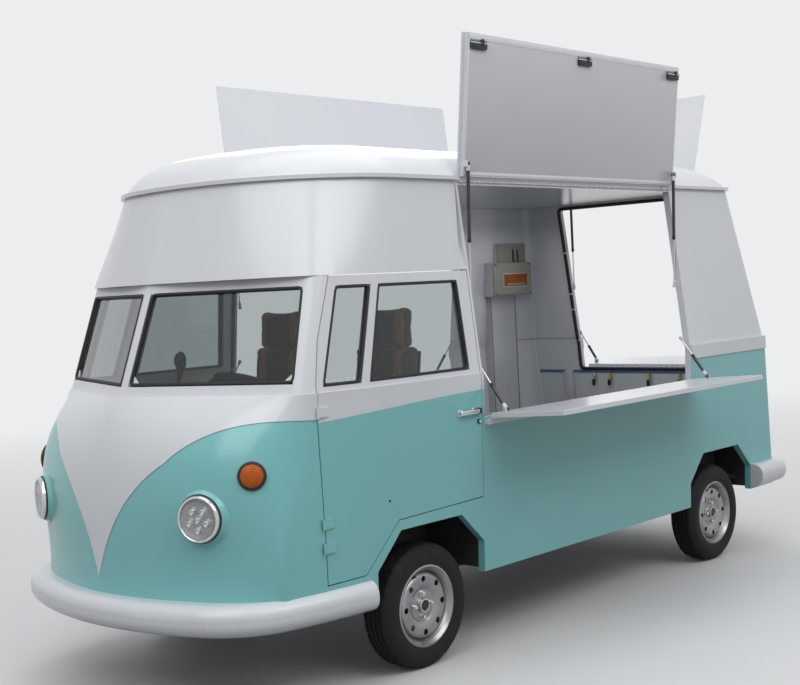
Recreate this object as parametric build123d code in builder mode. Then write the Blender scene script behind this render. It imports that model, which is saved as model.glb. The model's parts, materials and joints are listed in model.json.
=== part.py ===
from build123d import *
import math
import os
from collections import namedtuple

# Ice cream truck: a small retro delivery van body with three serving openings.
# X points forward, Y to the vehicle's left, Z up. The origin is on the ground, on the
# centreline, midway between the front bumper and the outer edge of the open rear counter.
# All sizes are in millimetres.

# Driving dimensions
WHEELBASE = 2672
TYRE_RADIUS = 291
TYRE_WIDTH = 165
WHEEL_CENTRE_Y = 781
GROUND_TO_SILL = 384
FLOOR_TOP = 420
BELT_Z = 1345
COLOUR_LINE_Z = 1266
DOOR_HEAD_Z = 1843
GUTTER_Z = 2292
WALL = 40
CAB_BACK = -377
FRONT_OVERHANG = 1280
BUMPER_DEPTH = 65

# Serving openings, measured from the front axle (negative is behind it)
OPENING_FRONT = -393
OPENING_REAR = -2325
OPENING_SILL_Z = 1130
OPENING_HEAD_Z = 2252
REAR_OPENING_HALF = 495
HATCH_HINGE_Z = 2268
HATCH_PROUD = 8
COUNTER_HINGE_Z = 1128
COUNTER_PROUD = 32
COUNTER_REACH = 430
COUNTER_TILT = 3.3
COUNTER_DEPTH = COUNTER_REACH / math.cos(math.radians(COUNTER_TILT))
REAR_COUNTER_HINGE = -3334

OVERALL_LENGTH = FRONT_OVERHANG - REAR_COUNTER_HINGE + COUNTER_REACH
AXLE_FRONT_X = OVERALL_LENGTH / 2 - FRONT_OVERHANG


def ahead(distance):
    """X of a place given by its distance ahead of the front axle."""
    return AXLE_FRONT_X + distance


AXLE_REAR_X = ahead(-WHEELBASE)

# Plan sections of the cab: height, nose ahead of the axle, half width, start of the side
# curve, sweep of the nose at the centreline, front radius, its turn, turn of the side curve
Level = namedtuple("Level", "z nose half_width side_start sweep front_radius front_turn side_turn")
NOSE_LEVELS = [
    Level(384, 1205, 905, 200, 0.0, 1600, 22.0, 12),
    Level(930, 1175, 924, 200, 0.0, 1700, 22.0, 12),
    Level(1210, 1110, 934, 200, 5.0, 2400, 14.5, 12),
    Level(1345, 1040, 938, 200, 17.0, 12000, 4.0, 12),
]
SCREEN_LEVELS = [
    Level(1345, 1030, 930, 200, 18.4, 30000, 1.66, 12),
    Level(1843, 840, 875, 160, 17.2, 30000, 1.56, 12),
]
BROW_LEVELS = [
    Level(1843, 852, 875, 120, 8.0, 2600, 17.0, 8),
    Level(GUTTER_Z, 690, 825, 50, 0.0, 1500, 10.0, 24),
]
BUMPER_LEVEL = Level(430, 1215, 887, 200, 0.0, 1600, 22.0, 12)

# Plan sections of the kitchen: height, half width, rear face, corner radius
Box_level = namedtuple("Box_level", "z half_width rear corner")
LOWER_LEVELS = [Box_level(384, 905, -3385, 50), Box_level(1345, 938, -3278, 55)]
UPPER_LEVELS = [Box_level(1345, 930, -3270, 60), Box_level(GUTTER_Z, 825, -3100, 130)]

# Roof sections above the gutter: height, inset from the gutter line, rear corner radius
Roof_level = namedtuple("Roof_level", "z inset corner")
ROOF_LEVELS = [
    Roof_level(GUTTER_Z, 0, 130),
    Roof_level(2349, 45, 140),
    Roof_level(2410, 130, 160),
    Roof_level(2450, 270, 180),
    Roof_level(2468, 440, 190),
]

# Octagonal wheel arch, from the axle and from the ground
ARCH_OUTLINE = [(365, 250), (365, 526), (214, 688), (-208, 688), (-373, 534), (-373, 250)]

# Cab door outline and its two windows, from the front axle and from the ground
DOOR_OUTLINE = [
    (509, 1838),
    (612, 1568),
    (655, 1374),
    (660, 1250),
    (654, 810),
    (646, 523),
    (435, 528),
    (227, 738),
    (-372, 752),
    (-372, 1838),
]
QUARTER_WINDOW = [(484, 1795), (289, 1795), (420, 1368), (624, 1368)]
MAIN_WINDOW = [(246, 1795), (-292, 1795), (-300, 1368), (372, 1368)]
WINDSCREEN_PANE = [(25, 1388), (816, 1388), (773, 1797), (25, 1797)]
DOOR_GAP = 5

os.makedirs("parts", exist_ok=True)


def turn_step(heading, turn):
    """Displacement along a unit circle while the heading turns from +Y towards -X."""
    first = math.radians(heading)
    last = math.radians(heading + turn)
    return (math.cos(last) - math.cos(first), math.sin(last) - math.sin(first))


def half_plan(level, inset):
    """Three arcs of the left half plan, each as start, middle and end, moved in by inset."""
    nose = level.nose - inset / math.cos(math.radians(level.sweep))
    half_width = level.half_width - inset
    corner_turn = 90 - level.sweep - level.front_turn - level.side_turn
    headings = [level.sweep, level.sweep + level.front_turn, 90 - level.side_turn]
    turns = [level.front_turn, corner_turn, level.side_turn]
    front_radius = level.front_radius - inset
    front, corner, side = [turn_step(h, t) for h, t in zip(headings, turns)]
    reach_x = level.side_start - nose - front_radius * front[0]
    reach_y = half_width - front_radius * front[1]
    spread = corner[0] * side[1] - corner[1] * side[0]
    corner_radius = (reach_x * side[1] - reach_y * side[0]) / spread
    side_radius = (corner[0] * reach_y - corner[1] * reach_x) / spread
    arcs = []
    start = (ahead(nose), 0)
    for heading, turn, radius in zip(headings, turns, (front_radius, corner_radius, side_radius)):
        mid_step = turn_step(heading, turn / 2)
        end_step = turn_step(heading, turn)
        middle = (start[0] + radius * mid_step[0], start[1] + radius * mid_step[1])
        end = (start[0] + radius * end_step[0], start[1] + radius * end_step[1])
        arcs.append((start, middle, end))
        start = end
    return arcs


def draw_plan_front(arcs):
    """The nose curve on both sides of the centreline."""
    for start, middle, end in arcs:
        ThreePointArc(start, middle, end)
        ThreePointArc((start[0], -start[1]), (middle[0], -middle[1]), (end[0], -end[1]))


def cab_form(levels, inset, back, ruled):
    """Closed form of the cab between its first and last level, back to the plane at back."""
    with BuildPart() as form:
        for level in levels:
            with BuildSketch(Plane.XY.offset(level.z)):
                with BuildLine():
                    arcs = half_plan(level, inset)
                    draw_plan_front(arcs)
                    x_side, y_side = arcs[-1][2]
                    Polyline(
                        (x_side, y_side),
                        (ahead(back), y_side),
                        (ahead(back), -y_side),
                        (x_side, -y_side),
                    )
                make_face()
        loft(ruled=ruled)
    return form.part


def draw_rear_end(x_front, half_width, rear, corner):
    """Sides, rounded rear corners and rear face of a plan section."""
    Line((x_front, half_width), (rear + corner, half_width))
    RadiusArc((rear + corner, half_width), (rear, half_width - corner), -corner)
    Line((rear, half_width - corner), (rear, corner - half_width))
    RadiusArc((rear, corner - half_width), (rear + corner, -half_width), -corner)
    Line((rear + corner, -half_width), (x_front, -half_width))


def kitchen_form(levels, inset, front):
    """Closed form of the kitchen body from the plane at front to its rear face."""
    with BuildPart() as form:
        for level in levels:
            half_width = level.half_width - inset
            corner = max(level.corner - inset, 8)
            with BuildSketch(Plane.XY.offset(level.z)):
                with BuildLine():
                    draw_rear_end(ahead(front), half_width, ahead(level.rear + inset), corner)
                    Line((ahead(front), -half_width), (ahead(front), half_width))
                make_face()
        loft(ruled=True)
    return form.part


def roof_form(inset, lift):
    """The domed roof as one closed form, moved in and down for its inner face."""
    brow = BROW_LEVELS[1]
    with BuildPart() as form:
        for level in ROOF_LEVELS:
            total = level.inset + inset
            arcs = half_plan(brow, total)
            x_side, y_side = arcs[-1][2]
            rear = ahead(UPPER_LEVELS[1].rear + total)
            with BuildSketch(Plane.XY.offset(level.z - lift)):
                with BuildLine():
                    draw_plan_front(arcs)
                    draw_rear_end(x_side, y_side, rear, level.corner)
                make_face()
        loft()
    return form.part


def side_prism(outline, low_y, high_y, gap=0):
    """A prism across the vehicle with a side-view outline given from the front axle."""
    with BuildPart() as prism:
        with BuildSketch(Plane.XZ.offset(-high_y)):
            with BuildLine():
                Polyline([(ahead(x), z) for x, z in outline], close=True)
            make_face()
            if gap:
                offset(amount=gap, kind=Kind.INTERSECTION)
        extrude(amount=high_y - low_y)
    return prism.part


def block(low, high):
    """A plain box between two corners."""
    size = [b - a for a, b in zip(low, high)]
    middle = [(a + b) / 2 for a, b in zip(low, high)]
    with BuildPart() as solid:
        with Locations(Vector(*middle)):
            Box(*size)
    return solid.part


def finish(part, name):
    """Label a finished piece and write it."""
    part.label = name
    export_step(part, f"parts/{name}.step")


nose_outer = cab_form(NOSE_LEVELS, 0, CAB_BACK, False)
nose_inner = cab_form(NOSE_LEVELS, WALL, CAB_BACK - 50, False)
screen_outer = cab_form(SCREEN_LEVELS, 0, CAB_BACK, True)
screen_inner = cab_form(SCREEN_LEVELS, WALL, CAB_BACK - 50, True)
brow_outer = cab_form(BROW_LEVELS, 0, CAB_BACK, True)
brow_inner = cab_form(BROW_LEVELS, WALL, CAB_BACK - 50, True)
lower_outer = kitchen_form(LOWER_LEVELS, 0, CAB_BACK)
lower_inner = kitchen_form(LOWER_LEVELS, WALL, CAB_BACK + 50)
upper_outer = kitchen_form(UPPER_LEVELS, 0, CAB_BACK)
upper_inner = kitchen_form(UPPER_LEVELS, WALL, CAB_BACK + 50)
front_arch = side_prism(ARCH_OUTLINE, -1100, 1100)
rear_arch = side_prism([(x - WHEELBASE, z) for x, z in ARCH_OUTLINE], -1100, 1100)
door_hole = side_prism(DOOR_OUTLINE, -1100, 1100, gap=DOOR_GAP)

# Nose panel: the lower front from door to door, with the wing below each door
with BuildPart() as nose_panel:
    add(nose_outer)
    add(nose_inner, mode=Mode.SUBTRACT)
    add(front_arch, mode=Mode.SUBTRACT)
    add(door_hole, mode=Mode.SUBTRACT)
finish(nose_panel.part, "nose_panel")

# White V on the nose: a thin raised skin whose edge rises from a tip above the bumper
V_TIP = (0, 568)
V_SHOULDER = (394, 1080)
V_END = (900, 1231)
V_PROUD = 4
nose_skin = cab_form(NOSE_LEVELS, -V_PROUD, CAB_BACK, False)
with BuildPart() as v_prism:
    with BuildSketch(Plane.YZ.offset(ahead(560))):
        with BuildLine():
            ThreePointArc(V_TIP, (120, 818), V_SHOULDER)
            ThreePointArc(V_SHOULDER, (630, 1216), V_END)
            Polyline(V_END, (1000, 1231), (1000, BELT_Z), (0, BELT_Z), V_TIP)
        make_face()
        mirror(about=Plane.YZ)
    extrude(amount=800)
with BuildPart() as nose_v_panel:
    add(nose_skin)
    add(nose_outer, mode=Mode.SUBTRACT)
    add(v_prism.part, mode=Mode.INTERSECT)
    add(door_hole, mode=Mode.SUBTRACT)
finish(nose_v_panel.part, "nose_v_panel")

# Windscreen frame: sill, centre post, header and the two front pillars
with BuildPart() as pane_prism:
    with BuildSketch(Plane.YZ.offset(ahead(400))):
        with BuildLine():
            Polyline(WINDSCREEN_PANE, close=True)
        make_face()
        mirror(about=Plane.YZ)
    extrude(amount=800)
with BuildPart() as windscreen_frame:
    add(screen_outer)
    add(screen_inner, mode=Mode.SUBTRACT)
    add(pane_prism.part, mode=Mode.SUBTRACT)
    add(door_hole, mode=Mode.SUBTRACT)
finish(windscreen_frame.part, "windscreen_frame")

# Windscreen glass: two flat panes in a shallow V, seated in the frame
GLASS_DEPTH = 14
GLASS_THICK = 6
glass_outer = cab_form(SCREEN_LEVELS, GLASS_DEPTH, CAB_BACK, True)
glass_inner = cab_form(SCREEN_LEVELS, GLASS_DEPTH + GLASS_THICK, CAB_BACK - 50, True)
with BuildPart() as windscreen_glass:
    add(glass_outer)
    add(glass_inner, mode=Mode.SUBTRACT)
    add(pane_prism.part, mode=Mode.INTERSECT)
finish(windscreen_glass.part, "windscreen_glass")

# Upper cab panel: the rounded white front and sides between the glass and the gutter
with BuildPart() as cab_upper_panel:
    add(brow_outer)
    add(brow_inner, mode=Mode.SUBTRACT)
finish(cab_upper_panel.part, "cab_upper_panel")

# Cab doors, cut from the same forms as the panels around them, with two windows each
window_hole = side_prism(QUARTER_WINDOW, 500, 1100) + side_prism(MAIN_WINDOW, 500, 1100)
door_prism = side_prism(DOOR_OUTLINE, 500, 1100)
HANDLE_X = -262
HANDLE_Z = 1168
DOOR_HINGE = (668, 895)
HINGE_HEIGHTS = (682, 786, 1262)
with BuildPart() as left_door:
    add(nose_outer)
    add(nose_inner, mode=Mode.SUBTRACT)
    add(screen_outer)
    add(screen_inner, mode=Mode.SUBTRACT)
    add(door_prism, mode=Mode.INTERSECT)
    add(window_hole, mode=Mode.SUBTRACT)
    for z in HINGE_HEIGHTS:
        add(block((ahead(606), 870, z - 20), (ahead(645), 898, z + 20)))
        add(block((ahead(640), 892, z - 20), (ahead(DOOR_HINGE[0]), 898, z + 20)))
        with Locations((ahead(DOOR_HINGE[0]), DOOR_HINGE[1], z)):
            Cylinder(5, 48)
    with BuildSketch(Plane.XZ.offset(-944)):
        with Locations((ahead(HANDLE_X), HANDLE_Z)):
            SlotOverall(130, 22)
    extrude(amount=-12)
    with Locations((ahead(HANDLE_X + 50), 936, HANDLE_Z), (ahead(HANDLE_X - 50), 936, HANDLE_Z)):
        Box(18, 20, 18)
finish(left_door.part, "left_door")
with BuildPart() as right_door:
    add(left_door.part)
    mirror(about=Plane.XZ, mode=Mode.REPLACE)
finish(right_door.part, "right_door")

# Door glass: a quarter light and a main pane in each door
with BuildPart() as left_door_glass:
    add(glass_outer)
    add(glass_inner, mode=Mode.SUBTRACT)
    add(window_hole, mode=Mode.INTERSECT)
finish(left_door_glass.part, "left_door_glass")
with BuildPart() as right_door_glass:
    add(left_door_glass.part)
    mirror(about=Plane.XZ, mode=Mode.REPLACE)
finish(right_door_glass.part, "right_door_glass")

# Kitchen walls: two side panels and a rear panel, hollow inside, open at the hatches
SIDE_SEAM_Y = 720
lower_lean = (LOWER_LEVELS[1].half_width - LOWER_LEVELS[0].half_width) / (BELT_Z - GROUND_TO_SILL)
side_at_sill = LOWER_LEVELS[0].half_width + lower_lean * (OPENING_SILL_Z - GROUND_TO_SILL)
side_opening = block(
    (ahead(OPENING_REAR), 600, OPENING_SILL_Z), (ahead(OPENING_FRONT), 1100, OPENING_HEAD_Z)
)
rear_opening = block(
    (ahead(-3600), -REAR_OPENING_HALF, OPENING_SILL_Z),
    (ahead(-2900), REAR_OPENING_HALF, OPENING_HEAD_Z),
)
with BuildPart() as left_side_panel:
    add(lower_outer)
    add(lower_inner, mode=Mode.SUBTRACT)
    add(upper_outer)
    add(lower_inner, mode=Mode.SUBTRACT)
    add(upper_inner, mode=Mode.SUBTRACT)
    add(block((ahead(-3600), SIDE_SEAM_Y, 300), (ahead(0), 1100, 2400)), mode=Mode.INTERSECT)
    add(rear_arch, mode=Mode.SUBTRACT)
    add(side_opening, mode=Mode.SUBTRACT)
finish(left_side_panel.part, "left_side_panel")
with BuildPart() as right_side_panel:
    add(left_side_panel.part)
    mirror(about=Plane.XZ, mode=Mode.REPLACE)
finish(right_side_panel.part, "right_side_panel")
with BuildPart() as rear_panel:
    add(lower_outer)
    add(upper_outer)
    add(lower_inner, mode=Mode.SUBTRACT)
    add(upper_inner, mode=Mode.SUBTRACT)
    add(
        block((ahead(-3600), -SIDE_SEAM_Y, 300), (ahead(-2900), SIDE_SEAM_Y, 2400)),
        mode=Mode.INTERSECT,
    )
    add(rear_opening, mode=Mode.SUBTRACT)
finish(rear_panel.part, "rear_panel")

# Belt moulding behind the side openings, drip rail around the roof, in pieces, and the
# ledge below each opening that carries the fixed leaf of its counter's hinge
BELT_PROUD = 8
RAIL_PROUD = 24
RAIL_HEIGHT = 18
LEDGE_LOW = 1096
LEDGE_HIGH = 1120
LEDGE_GAP = 7
HATCH_SKIN_FRONT = OPENING_FRONT + 14
HATCH_SKIN_REAR = OPENING_REAR - 25
with BuildPart() as trim_rails:
    add(kitchen_form(LOWER_LEVELS, -BELT_PROUD, CAB_BACK))
    add(lower_outer, mode=Mode.SUBTRACT)
    add(
        block((ahead(-3600), -1100, COLOUR_LINE_Z), (ahead(OPENING_REAR), 1100, BELT_Z)),
        mode=Mode.INTERSECT,
    )
    add(rear_opening, mode=Mode.SUBTRACT)
    rail_level = BROW_LEVELS[1]._replace(z=GUTTER_Z - RAIL_HEIGHT)
    rail_z = GUTTER_Z - RAIL_HEIGHT
    arcs = half_plan(rail_level, -RAIL_PROUD)
    x_side, y_side = arcs[-1][2]
    rear_x = ahead(UPPER_LEVELS[1].rear - RAIL_PROUD)
    with BuildSketch(Plane.XY.offset(rail_z)) as rail_outline:
        with BuildLine():
            draw_plan_front(arcs)
            draw_rear_end(x_side, y_side, rear_x, UPPER_LEVELS[1].corner + RAIL_PROUD)
        make_face()
    extrude(amount=RAIL_HEIGHT)
    add(brow_outer, mode=Mode.SUBTRACT)
    add(upper_outer, mode=Mode.SUBTRACT)
    for side in (-1, 1):
        low_y, high_y = sorted((side * 700, side * 1100))
        add(
            block(
                (ahead(HATCH_SKIN_REAR - 8), low_y, 2200), (ahead(HATCH_SKIN_FRONT + 8), high_y, 2300)
            ),
            mode=Mode.SUBTRACT,
        )
    add(
        block((ahead(-3400), -REAR_OPENING_HALF - 43, 2200), (ahead(-2900), REAR_OPENING_HALF + 43, 2300)),
        mode=Mode.SUBTRACT,
    )
    ledge_y = side_at_sill + COUNTER_PROUD - LEDGE_GAP
    ledge_x = REAR_COUNTER_HINGE + LEDGE_GAP
    add(
        block((ahead(OPENING_REAR), -ledge_y, LEDGE_LOW), (ahead(OPENING_FRONT), ledge_y, LEDGE_HIGH))
        + block(
            (ahead(ledge_x), -REAR_OPENING_HALF, LEDGE_LOW), (ahead(-3200), REAR_OPENING_HALF, LEDGE_HIGH)
        )
        - lower_outer
    )
finish(trim_rails.part, "trim_rails")

# Roof: a hollow dome over the whole body, with a flat ceiling board inside its foot
ROOF_WALL = 22
CEILING_Z = GUTTER_Z - 15
with BuildPart() as roof:
    add(roof_form(0, 0))
    add(roof_form(ROOF_WALL, ROOF_WALL), mode=Mode.SUBTRACT)
finish(roof.part, "roof")
with BuildPart() as ceiling:
    add(brow_inner)
    add(upper_inner)
    add(block((ahead(-3400), -1000, CEILING_Z), (ahead(900), 1000, CEILING_Z + 10)), mode=Mode.INTERSECT)
finish(ceiling.part, "ceiling")

# Front bumper: a half-round white moulding that wraps the nose to the front arches
FRONT_BUMPER_LOW = 364
FRONT_BUMPER_HIGH = 500
FRONT_BUMPER_END = 405
with BuildPart() as front_bumper:
    with BuildSketch(Plane.XY.offset(FRONT_BUMPER_LOW)):
        with BuildLine():
            arcs = half_plan(BUMPER_LEVEL, -BUMPER_DEPTH)
            draw_plan_front(arcs)
            x_side, y_side = arcs[-1][2]
            Polyline((x_side, y_side), (ahead(0), y_side), (ahead(0), -y_side), (x_side, -y_side))
        make_face()
    extrude(amount=FRONT_BUMPER_HIGH - FRONT_BUMPER_LOW)
    fillet(faces().sort_by(Axis.Z)[-1].edges().filter_by(lambda e: e.center().X > ahead(1)), 58)
    fillet(faces().sort_by(Axis.Z)[0].edges().filter_by(lambda e: e.center().X > ahead(1)), 58)
    add(nose_outer, mode=Mode.SUBTRACT)
    with BuildSketch(Plane.XY.offset(FRONT_BUMPER_LOW)):
        with BuildLine():
            arcs = half_plan(BUMPER_LEVEL, 12)
            draw_plan_front(arcs)
            x_side, y_side = arcs[-1][2]
            Polyline((x_side, y_side), (ahead(-9), y_side), (ahead(-9), -y_side), (x_side, -y_side))
        make_face()
    extrude(amount=GROUND_TO_SILL - FRONT_BUMPER_LOW, mode=Mode.SUBTRACT)
    add(block((ahead(-200), -1100, 300), (ahead(FRONT_BUMPER_END), 1100, 600)), mode=Mode.SUBTRACT)
finish(front_bumper.part, "front_bumper")

# Rear bumper: the same half-round moulding around the rear corners
REAR_BUMPER_LOW = 400
REAR_BUMPER_HIGH = 541
REAR_BUMPER_END = -3048
REAR_BUMPER_DEPTH = 85
rear_section = LOWER_LEVELS[0]
with BuildPart() as rear_bumper:
    with BuildSketch(Plane.XY.offset(REAR_BUMPER_LOW)):
        with BuildLine():
            outer_y = rear_section.half_width + REAR_BUMPER_DEPTH
            draw_rear_end(
                ahead(-2900),
                outer_y,
                ahead(rear_section.rear - REAR_BUMPER_DEPTH),
                rear_section.corner + REAR_BUMPER_DEPTH,
            )
            Line((ahead(-2900), -outer_y), (ahead(-2900), outer_y))
        make_face()
    extrude(amount=REAR_BUMPER_HIGH - REAR_BUMPER_LOW)
    fillet(faces().sort_by(Axis.Z)[-1].edges().filter_by(lambda e: e.center().X < ahead(-2901)), 62)
    fillet(faces().sort_by(Axis.Z)[0].edges().filter_by(lambda e: e.center().X < ahead(-2901)), 62)
    add(lower_outer, mode=Mode.SUBTRACT)
    add(block((ahead(REAR_BUMPER_END), -1200, 300), (ahead(-2800), 1200, 700)), mode=Mode.SUBTRACT)
finish(rear_bumper.part, "rear_bumper")

# Round lamps on the nose: a stepped ring with a domed lens, square to the body's skin
Lamp = namedtuple("Lamp", "x y z yaw pitch radius depth")
HEADLIGHT = Lamp(1071, 588, 856, 20.6, 1, 101, 60)
TURN_SIGNAL = Lamp(943, 770, 1026, 48, 9, 56, 44)


def nose_lamp(lamp, ring, lens_bulge):
    """A lamp whose axis leaves the skin, on the left side."""
    seat = Plane(
        origin=(ahead(lamp.x), lamp.y, lamp.z),
        x_dir=(-math.sin(math.radians(lamp.yaw)), math.cos(math.radians(lamp.yaw)), 0),
        z_dir=(
            math.cos(math.radians(lamp.yaw)) * math.cos(math.radians(lamp.pitch)),
            math.sin(math.radians(lamp.yaw)) * math.cos(math.radians(lamp.pitch)),
            math.sin(math.radians(lamp.pitch)),
        ),
    )
    with BuildPart() as body:
        with BuildSketch(seat.offset(-lamp.depth / 2)):
            Circle(lamp.radius)
        extrude(amount=lamp.depth / 2 + ring)
        fillet(body.edges().sort_by(Axis((0, 0, 0), seat.z_dir))[-1], ring * 0.45)
        with BuildSketch(seat.offset(ring - 6)):
            Circle(lamp.radius * 0.82)
        extrude(amount=20, mode=Mode.SUBTRACT)
        with BuildSketch(seat.offset(ring - 8)):
            Circle(lamp.radius * 0.80)
        extrude(amount=lens_bulge, taper=20)
    return body.part


for lamp_name, lamp, ring, bulge in (
    ("headlights", HEADLIGHT, 42, 10),
    ("turn_signals", TURN_SIGNAL, 14, 12),
):
    with BuildPart() as lamps:
        add(nose_lamp(lamp, ring, bulge))
        add(nose_outer, mode=Mode.SUBTRACT)
        mirror(about=Plane.XZ)
    finish(lamps.part, lamp_name)

# Tail lamps: one round lamp at each side of the rear face
TAIL_LAMP_Y = 740
TAIL_LAMP_Z = 800
with BuildPart() as tail_lamps:
    for side in (-1, 1):
        with BuildSketch(Plane.YZ.offset(ahead(-3365))):
            with Locations((side * TAIL_LAMP_Y, TAIL_LAMP_Z)):
                Circle(50)
        extrude(amount=40)
    fillet(tail_lamps.faces().sort_by(Axis.X)[:2].edges(), 8)
    add(lower_outer, mode=Mode.SUBTRACT)
finish(tail_lamps.part, "tail_lamps")

# Wheel houses: an open box over each wheel, inside the body walls
HOUSE_TOP = 712
HOUSE_REACH = 385
HOUSE_SHEET = 6
FRONT_HOUSE_INNER_Y = 520
REAR_HOUSE_INNER_Y = 650
house_places = [
    (AXLE_FRONT_X, FRONT_HOUSE_INNER_Y, cab_form(NOSE_LEVELS, WALL + 1, CAB_BACK - 50, False)),
    (AXLE_REAR_X, REAR_HOUSE_INNER_Y, kitchen_form(LOWER_LEVELS, WALL + 1, CAB_BACK + 50)),
]
house_holes = []
with BuildPart() as wheel_houses:
    for axle_x, inner_y, room in house_places:
        with BuildPart(mode=Mode.PRIVATE) as house:
            add(
                block(
                    (axle_x - HOUSE_REACH, inner_y, FLOOR_TOP - 20),
                    (axle_x + HOUSE_REACH, 1000, HOUSE_TOP),
                )
            )
            add(
                block(
                    (axle_x - HOUSE_REACH + HOUSE_SHEET, inner_y + HOUSE_SHEET, 300),
                    (axle_x + HOUSE_REACH - HOUSE_SHEET, 1100, HOUSE_TOP - HOUSE_SHEET),
                ),
                mode=Mode.SUBTRACT,
            )
            add(room, mode=Mode.INTERSECT)
        add(house.part)
        house_holes.append(
            block((axle_x - HOUSE_REACH, inner_y, 300), (axle_x + HOUSE_REACH, 1100, 800))
        )
    mirror(about=Plane.XZ)
finish(wheel_houses.part, "wheel_houses")

# Floor: one flat deck between the walls, cut out for the wheel houses
with BuildPart() as floor:
    add(nose_inner)
    add(lower_inner)
    add(
        block((ahead(-3400), -1000, FLOOR_TOP - 20), (ahead(1100), 1000, FLOOR_TOP)),
        mode=Mode.INTERSECT,
    )
    for hole in house_holes:
        add(hole, mode=Mode.SUBTRACT)
        add(mirror(hole, about=Plane.XZ, mode=Mode.PRIVATE), mode=Mode.SUBTRACT)
finish(floor.part, "floor")

# Chassis: two box rails joined by cross members under the floor, with a tow eye behind
RAIL_Y = 385
RAIL_WIDTH = 60
RAIL_LOW = 336
TOW_EYE_X = -3262
TOW_EYE_Z = 358
with BuildPart() as chassis_frame:
    for side in (-1, 1):
        with Locations((ahead(-1090), side * RAIL_Y, (RAIL_LOW + 400) / 2)):
            Box(4280, RAIL_WIDTH, 400 - RAIL_LOW)
    for cross_x in (980, 520, -560, -1340, -2120, -3180):
        with Locations((ahead(cross_x), 0, (RAIL_LOW + 400) / 2)):
            Box(60, 2 * RAIL_Y, 400 - RAIL_LOW - 8)
    with Locations((ahead(-3230), 0, TOW_EYE_Z)):
        Box(64, 14, 36)
    with BuildSketch(Plane.XZ.offset(-7)):
        with Locations((ahead(TOW_EYE_X), TOW_EYE_Z)):
            Circle(28)
    extrude(amount=14)
    with BuildSketch(Plane.XZ.offset(-7)):
        with Locations((ahead(TOW_EYE_X), TOW_EYE_Z)):
            Circle(14)
    extrude(amount=14, mode=Mode.SUBTRACT)
finish(chassis_frame.part, "chassis_frame")

# Battery box: one plain closed block slung between the rails
with BuildPart() as battery_box:
    with Locations((ahead(-950), 0, 292)):
        Box(700, 640, 88)
    with Locations((ahead(-950), 0, 368)):
        Box(640, 560, 64)
finish(battery_box.part, "battery_box")

# Axles: a beam with a bored boss for each kingpin in front, a tube with its drive at the
# rear, both on leaf springs that hang from the rails
KINGPIN_Y = 655
KINGPIN_RADIUS = 11
SPRING_Y = 455
SPRING_WIDTH = 50


def leaf_spring(axle_x, low_z):
    """A bowed two-leaf spring with a hanger at each end, on the left side."""
    with BuildPart() as spring:
        with BuildSketch(Plane.XZ.offset(-SPRING_Y - SPRING_WIDTH / 2)):
            with BuildLine():
                ThreePointArc((axle_x - 430, low_z + 62), (axle_x, low_z), (axle_x + 430, low_z + 62))
                Line((axle_x + 430, low_z + 62), (axle_x + 430, low_z + 74))
                ThreePointArc((axle_x + 430, low_z + 74), (axle_x, low_z + 12), (axle_x - 430, low_z + 74))
                Line((axle_x - 430, low_z + 74), (axle_x - 430, low_z + 62))
            make_face()
        extrude(amount=SPRING_WIDTH)
        with Locations((axle_x, SPRING_Y, low_z + 2)):
            Box(420, SPRING_WIDTH, 10)
        with Locations((axle_x, SPRING_Y, low_z + 12)):
            Box(80, SPRING_WIDTH, 28)
        for end in (-430, 430):
            with Locations((axle_x + end, SPRING_Y - 7.5, (low_z + 60 + 396) / 2)):
                Box(24, SPRING_WIDTH + 15, 396 - low_z - 60)
    return spring.part


with BuildPart() as front_axle:
    with Locations((AXLE_FRONT_X, 0, TYRE_RADIUS - 30)):
        Box(60, 2 * KINGPIN_Y - 60, 46)
    for side in (-1, 1):
        with Locations((AXLE_FRONT_X, side * KINGPIN_Y, TYRE_RADIUS)):
            Cylinder(26, 110)
        with Locations((AXLE_FRONT_X, side * (KINGPIN_Y - 45), TYRE_RADIUS - 20)):
            Box(50, 60, 66)
    with Locations((AXLE_FRONT_X, KINGPIN_Y, TYRE_RADIUS), (AXLE_FRONT_X, -KINGPIN_Y, TYRE_RADIUS)):
        Hole(KINGPIN_RADIUS + 0.05, 200)
    add(leaf_spring(AXLE_FRONT_X, 222))
    add(mirror(leaf_spring(AXLE_FRONT_X, 222), about=Plane.XZ, mode=Mode.PRIVATE))
finish(front_axle.part, "front_axle")

REAR_SPINDLE_RADIUS = 20
with BuildPart() as rear_axle:
    with BuildSketch(Plane.XZ):
        with Locations((AXLE_REAR_X, TYRE_RADIUS)):
            Circle(34)
    extrude(amount=690, both=True)
    with BuildSketch(Plane.XZ):
        with Locations((AXLE_REAR_X, TYRE_RADIUS)):
            Circle(REAR_SPINDLE_RADIUS)
    extrude(amount=WHEEL_CENTRE_Y + 20, both=True)
    with Locations((AXLE_REAR_X, 0, TYRE_RADIUS)):
        Sphere(105)
    with Locations((AXLE_REAR_X + 130, 0, TYRE_RADIUS - 6)):
        Cylinder(62, 180, rotation=(0, 90, 0))
    add(leaf_spring(AXLE_REAR_X, 240))
    add(mirror(leaf_spring(AXLE_REAR_X, 240), about=Plane.XZ, mode=Mode.PRIVATE))
finish(rear_axle.part, "rear_axle")

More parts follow.
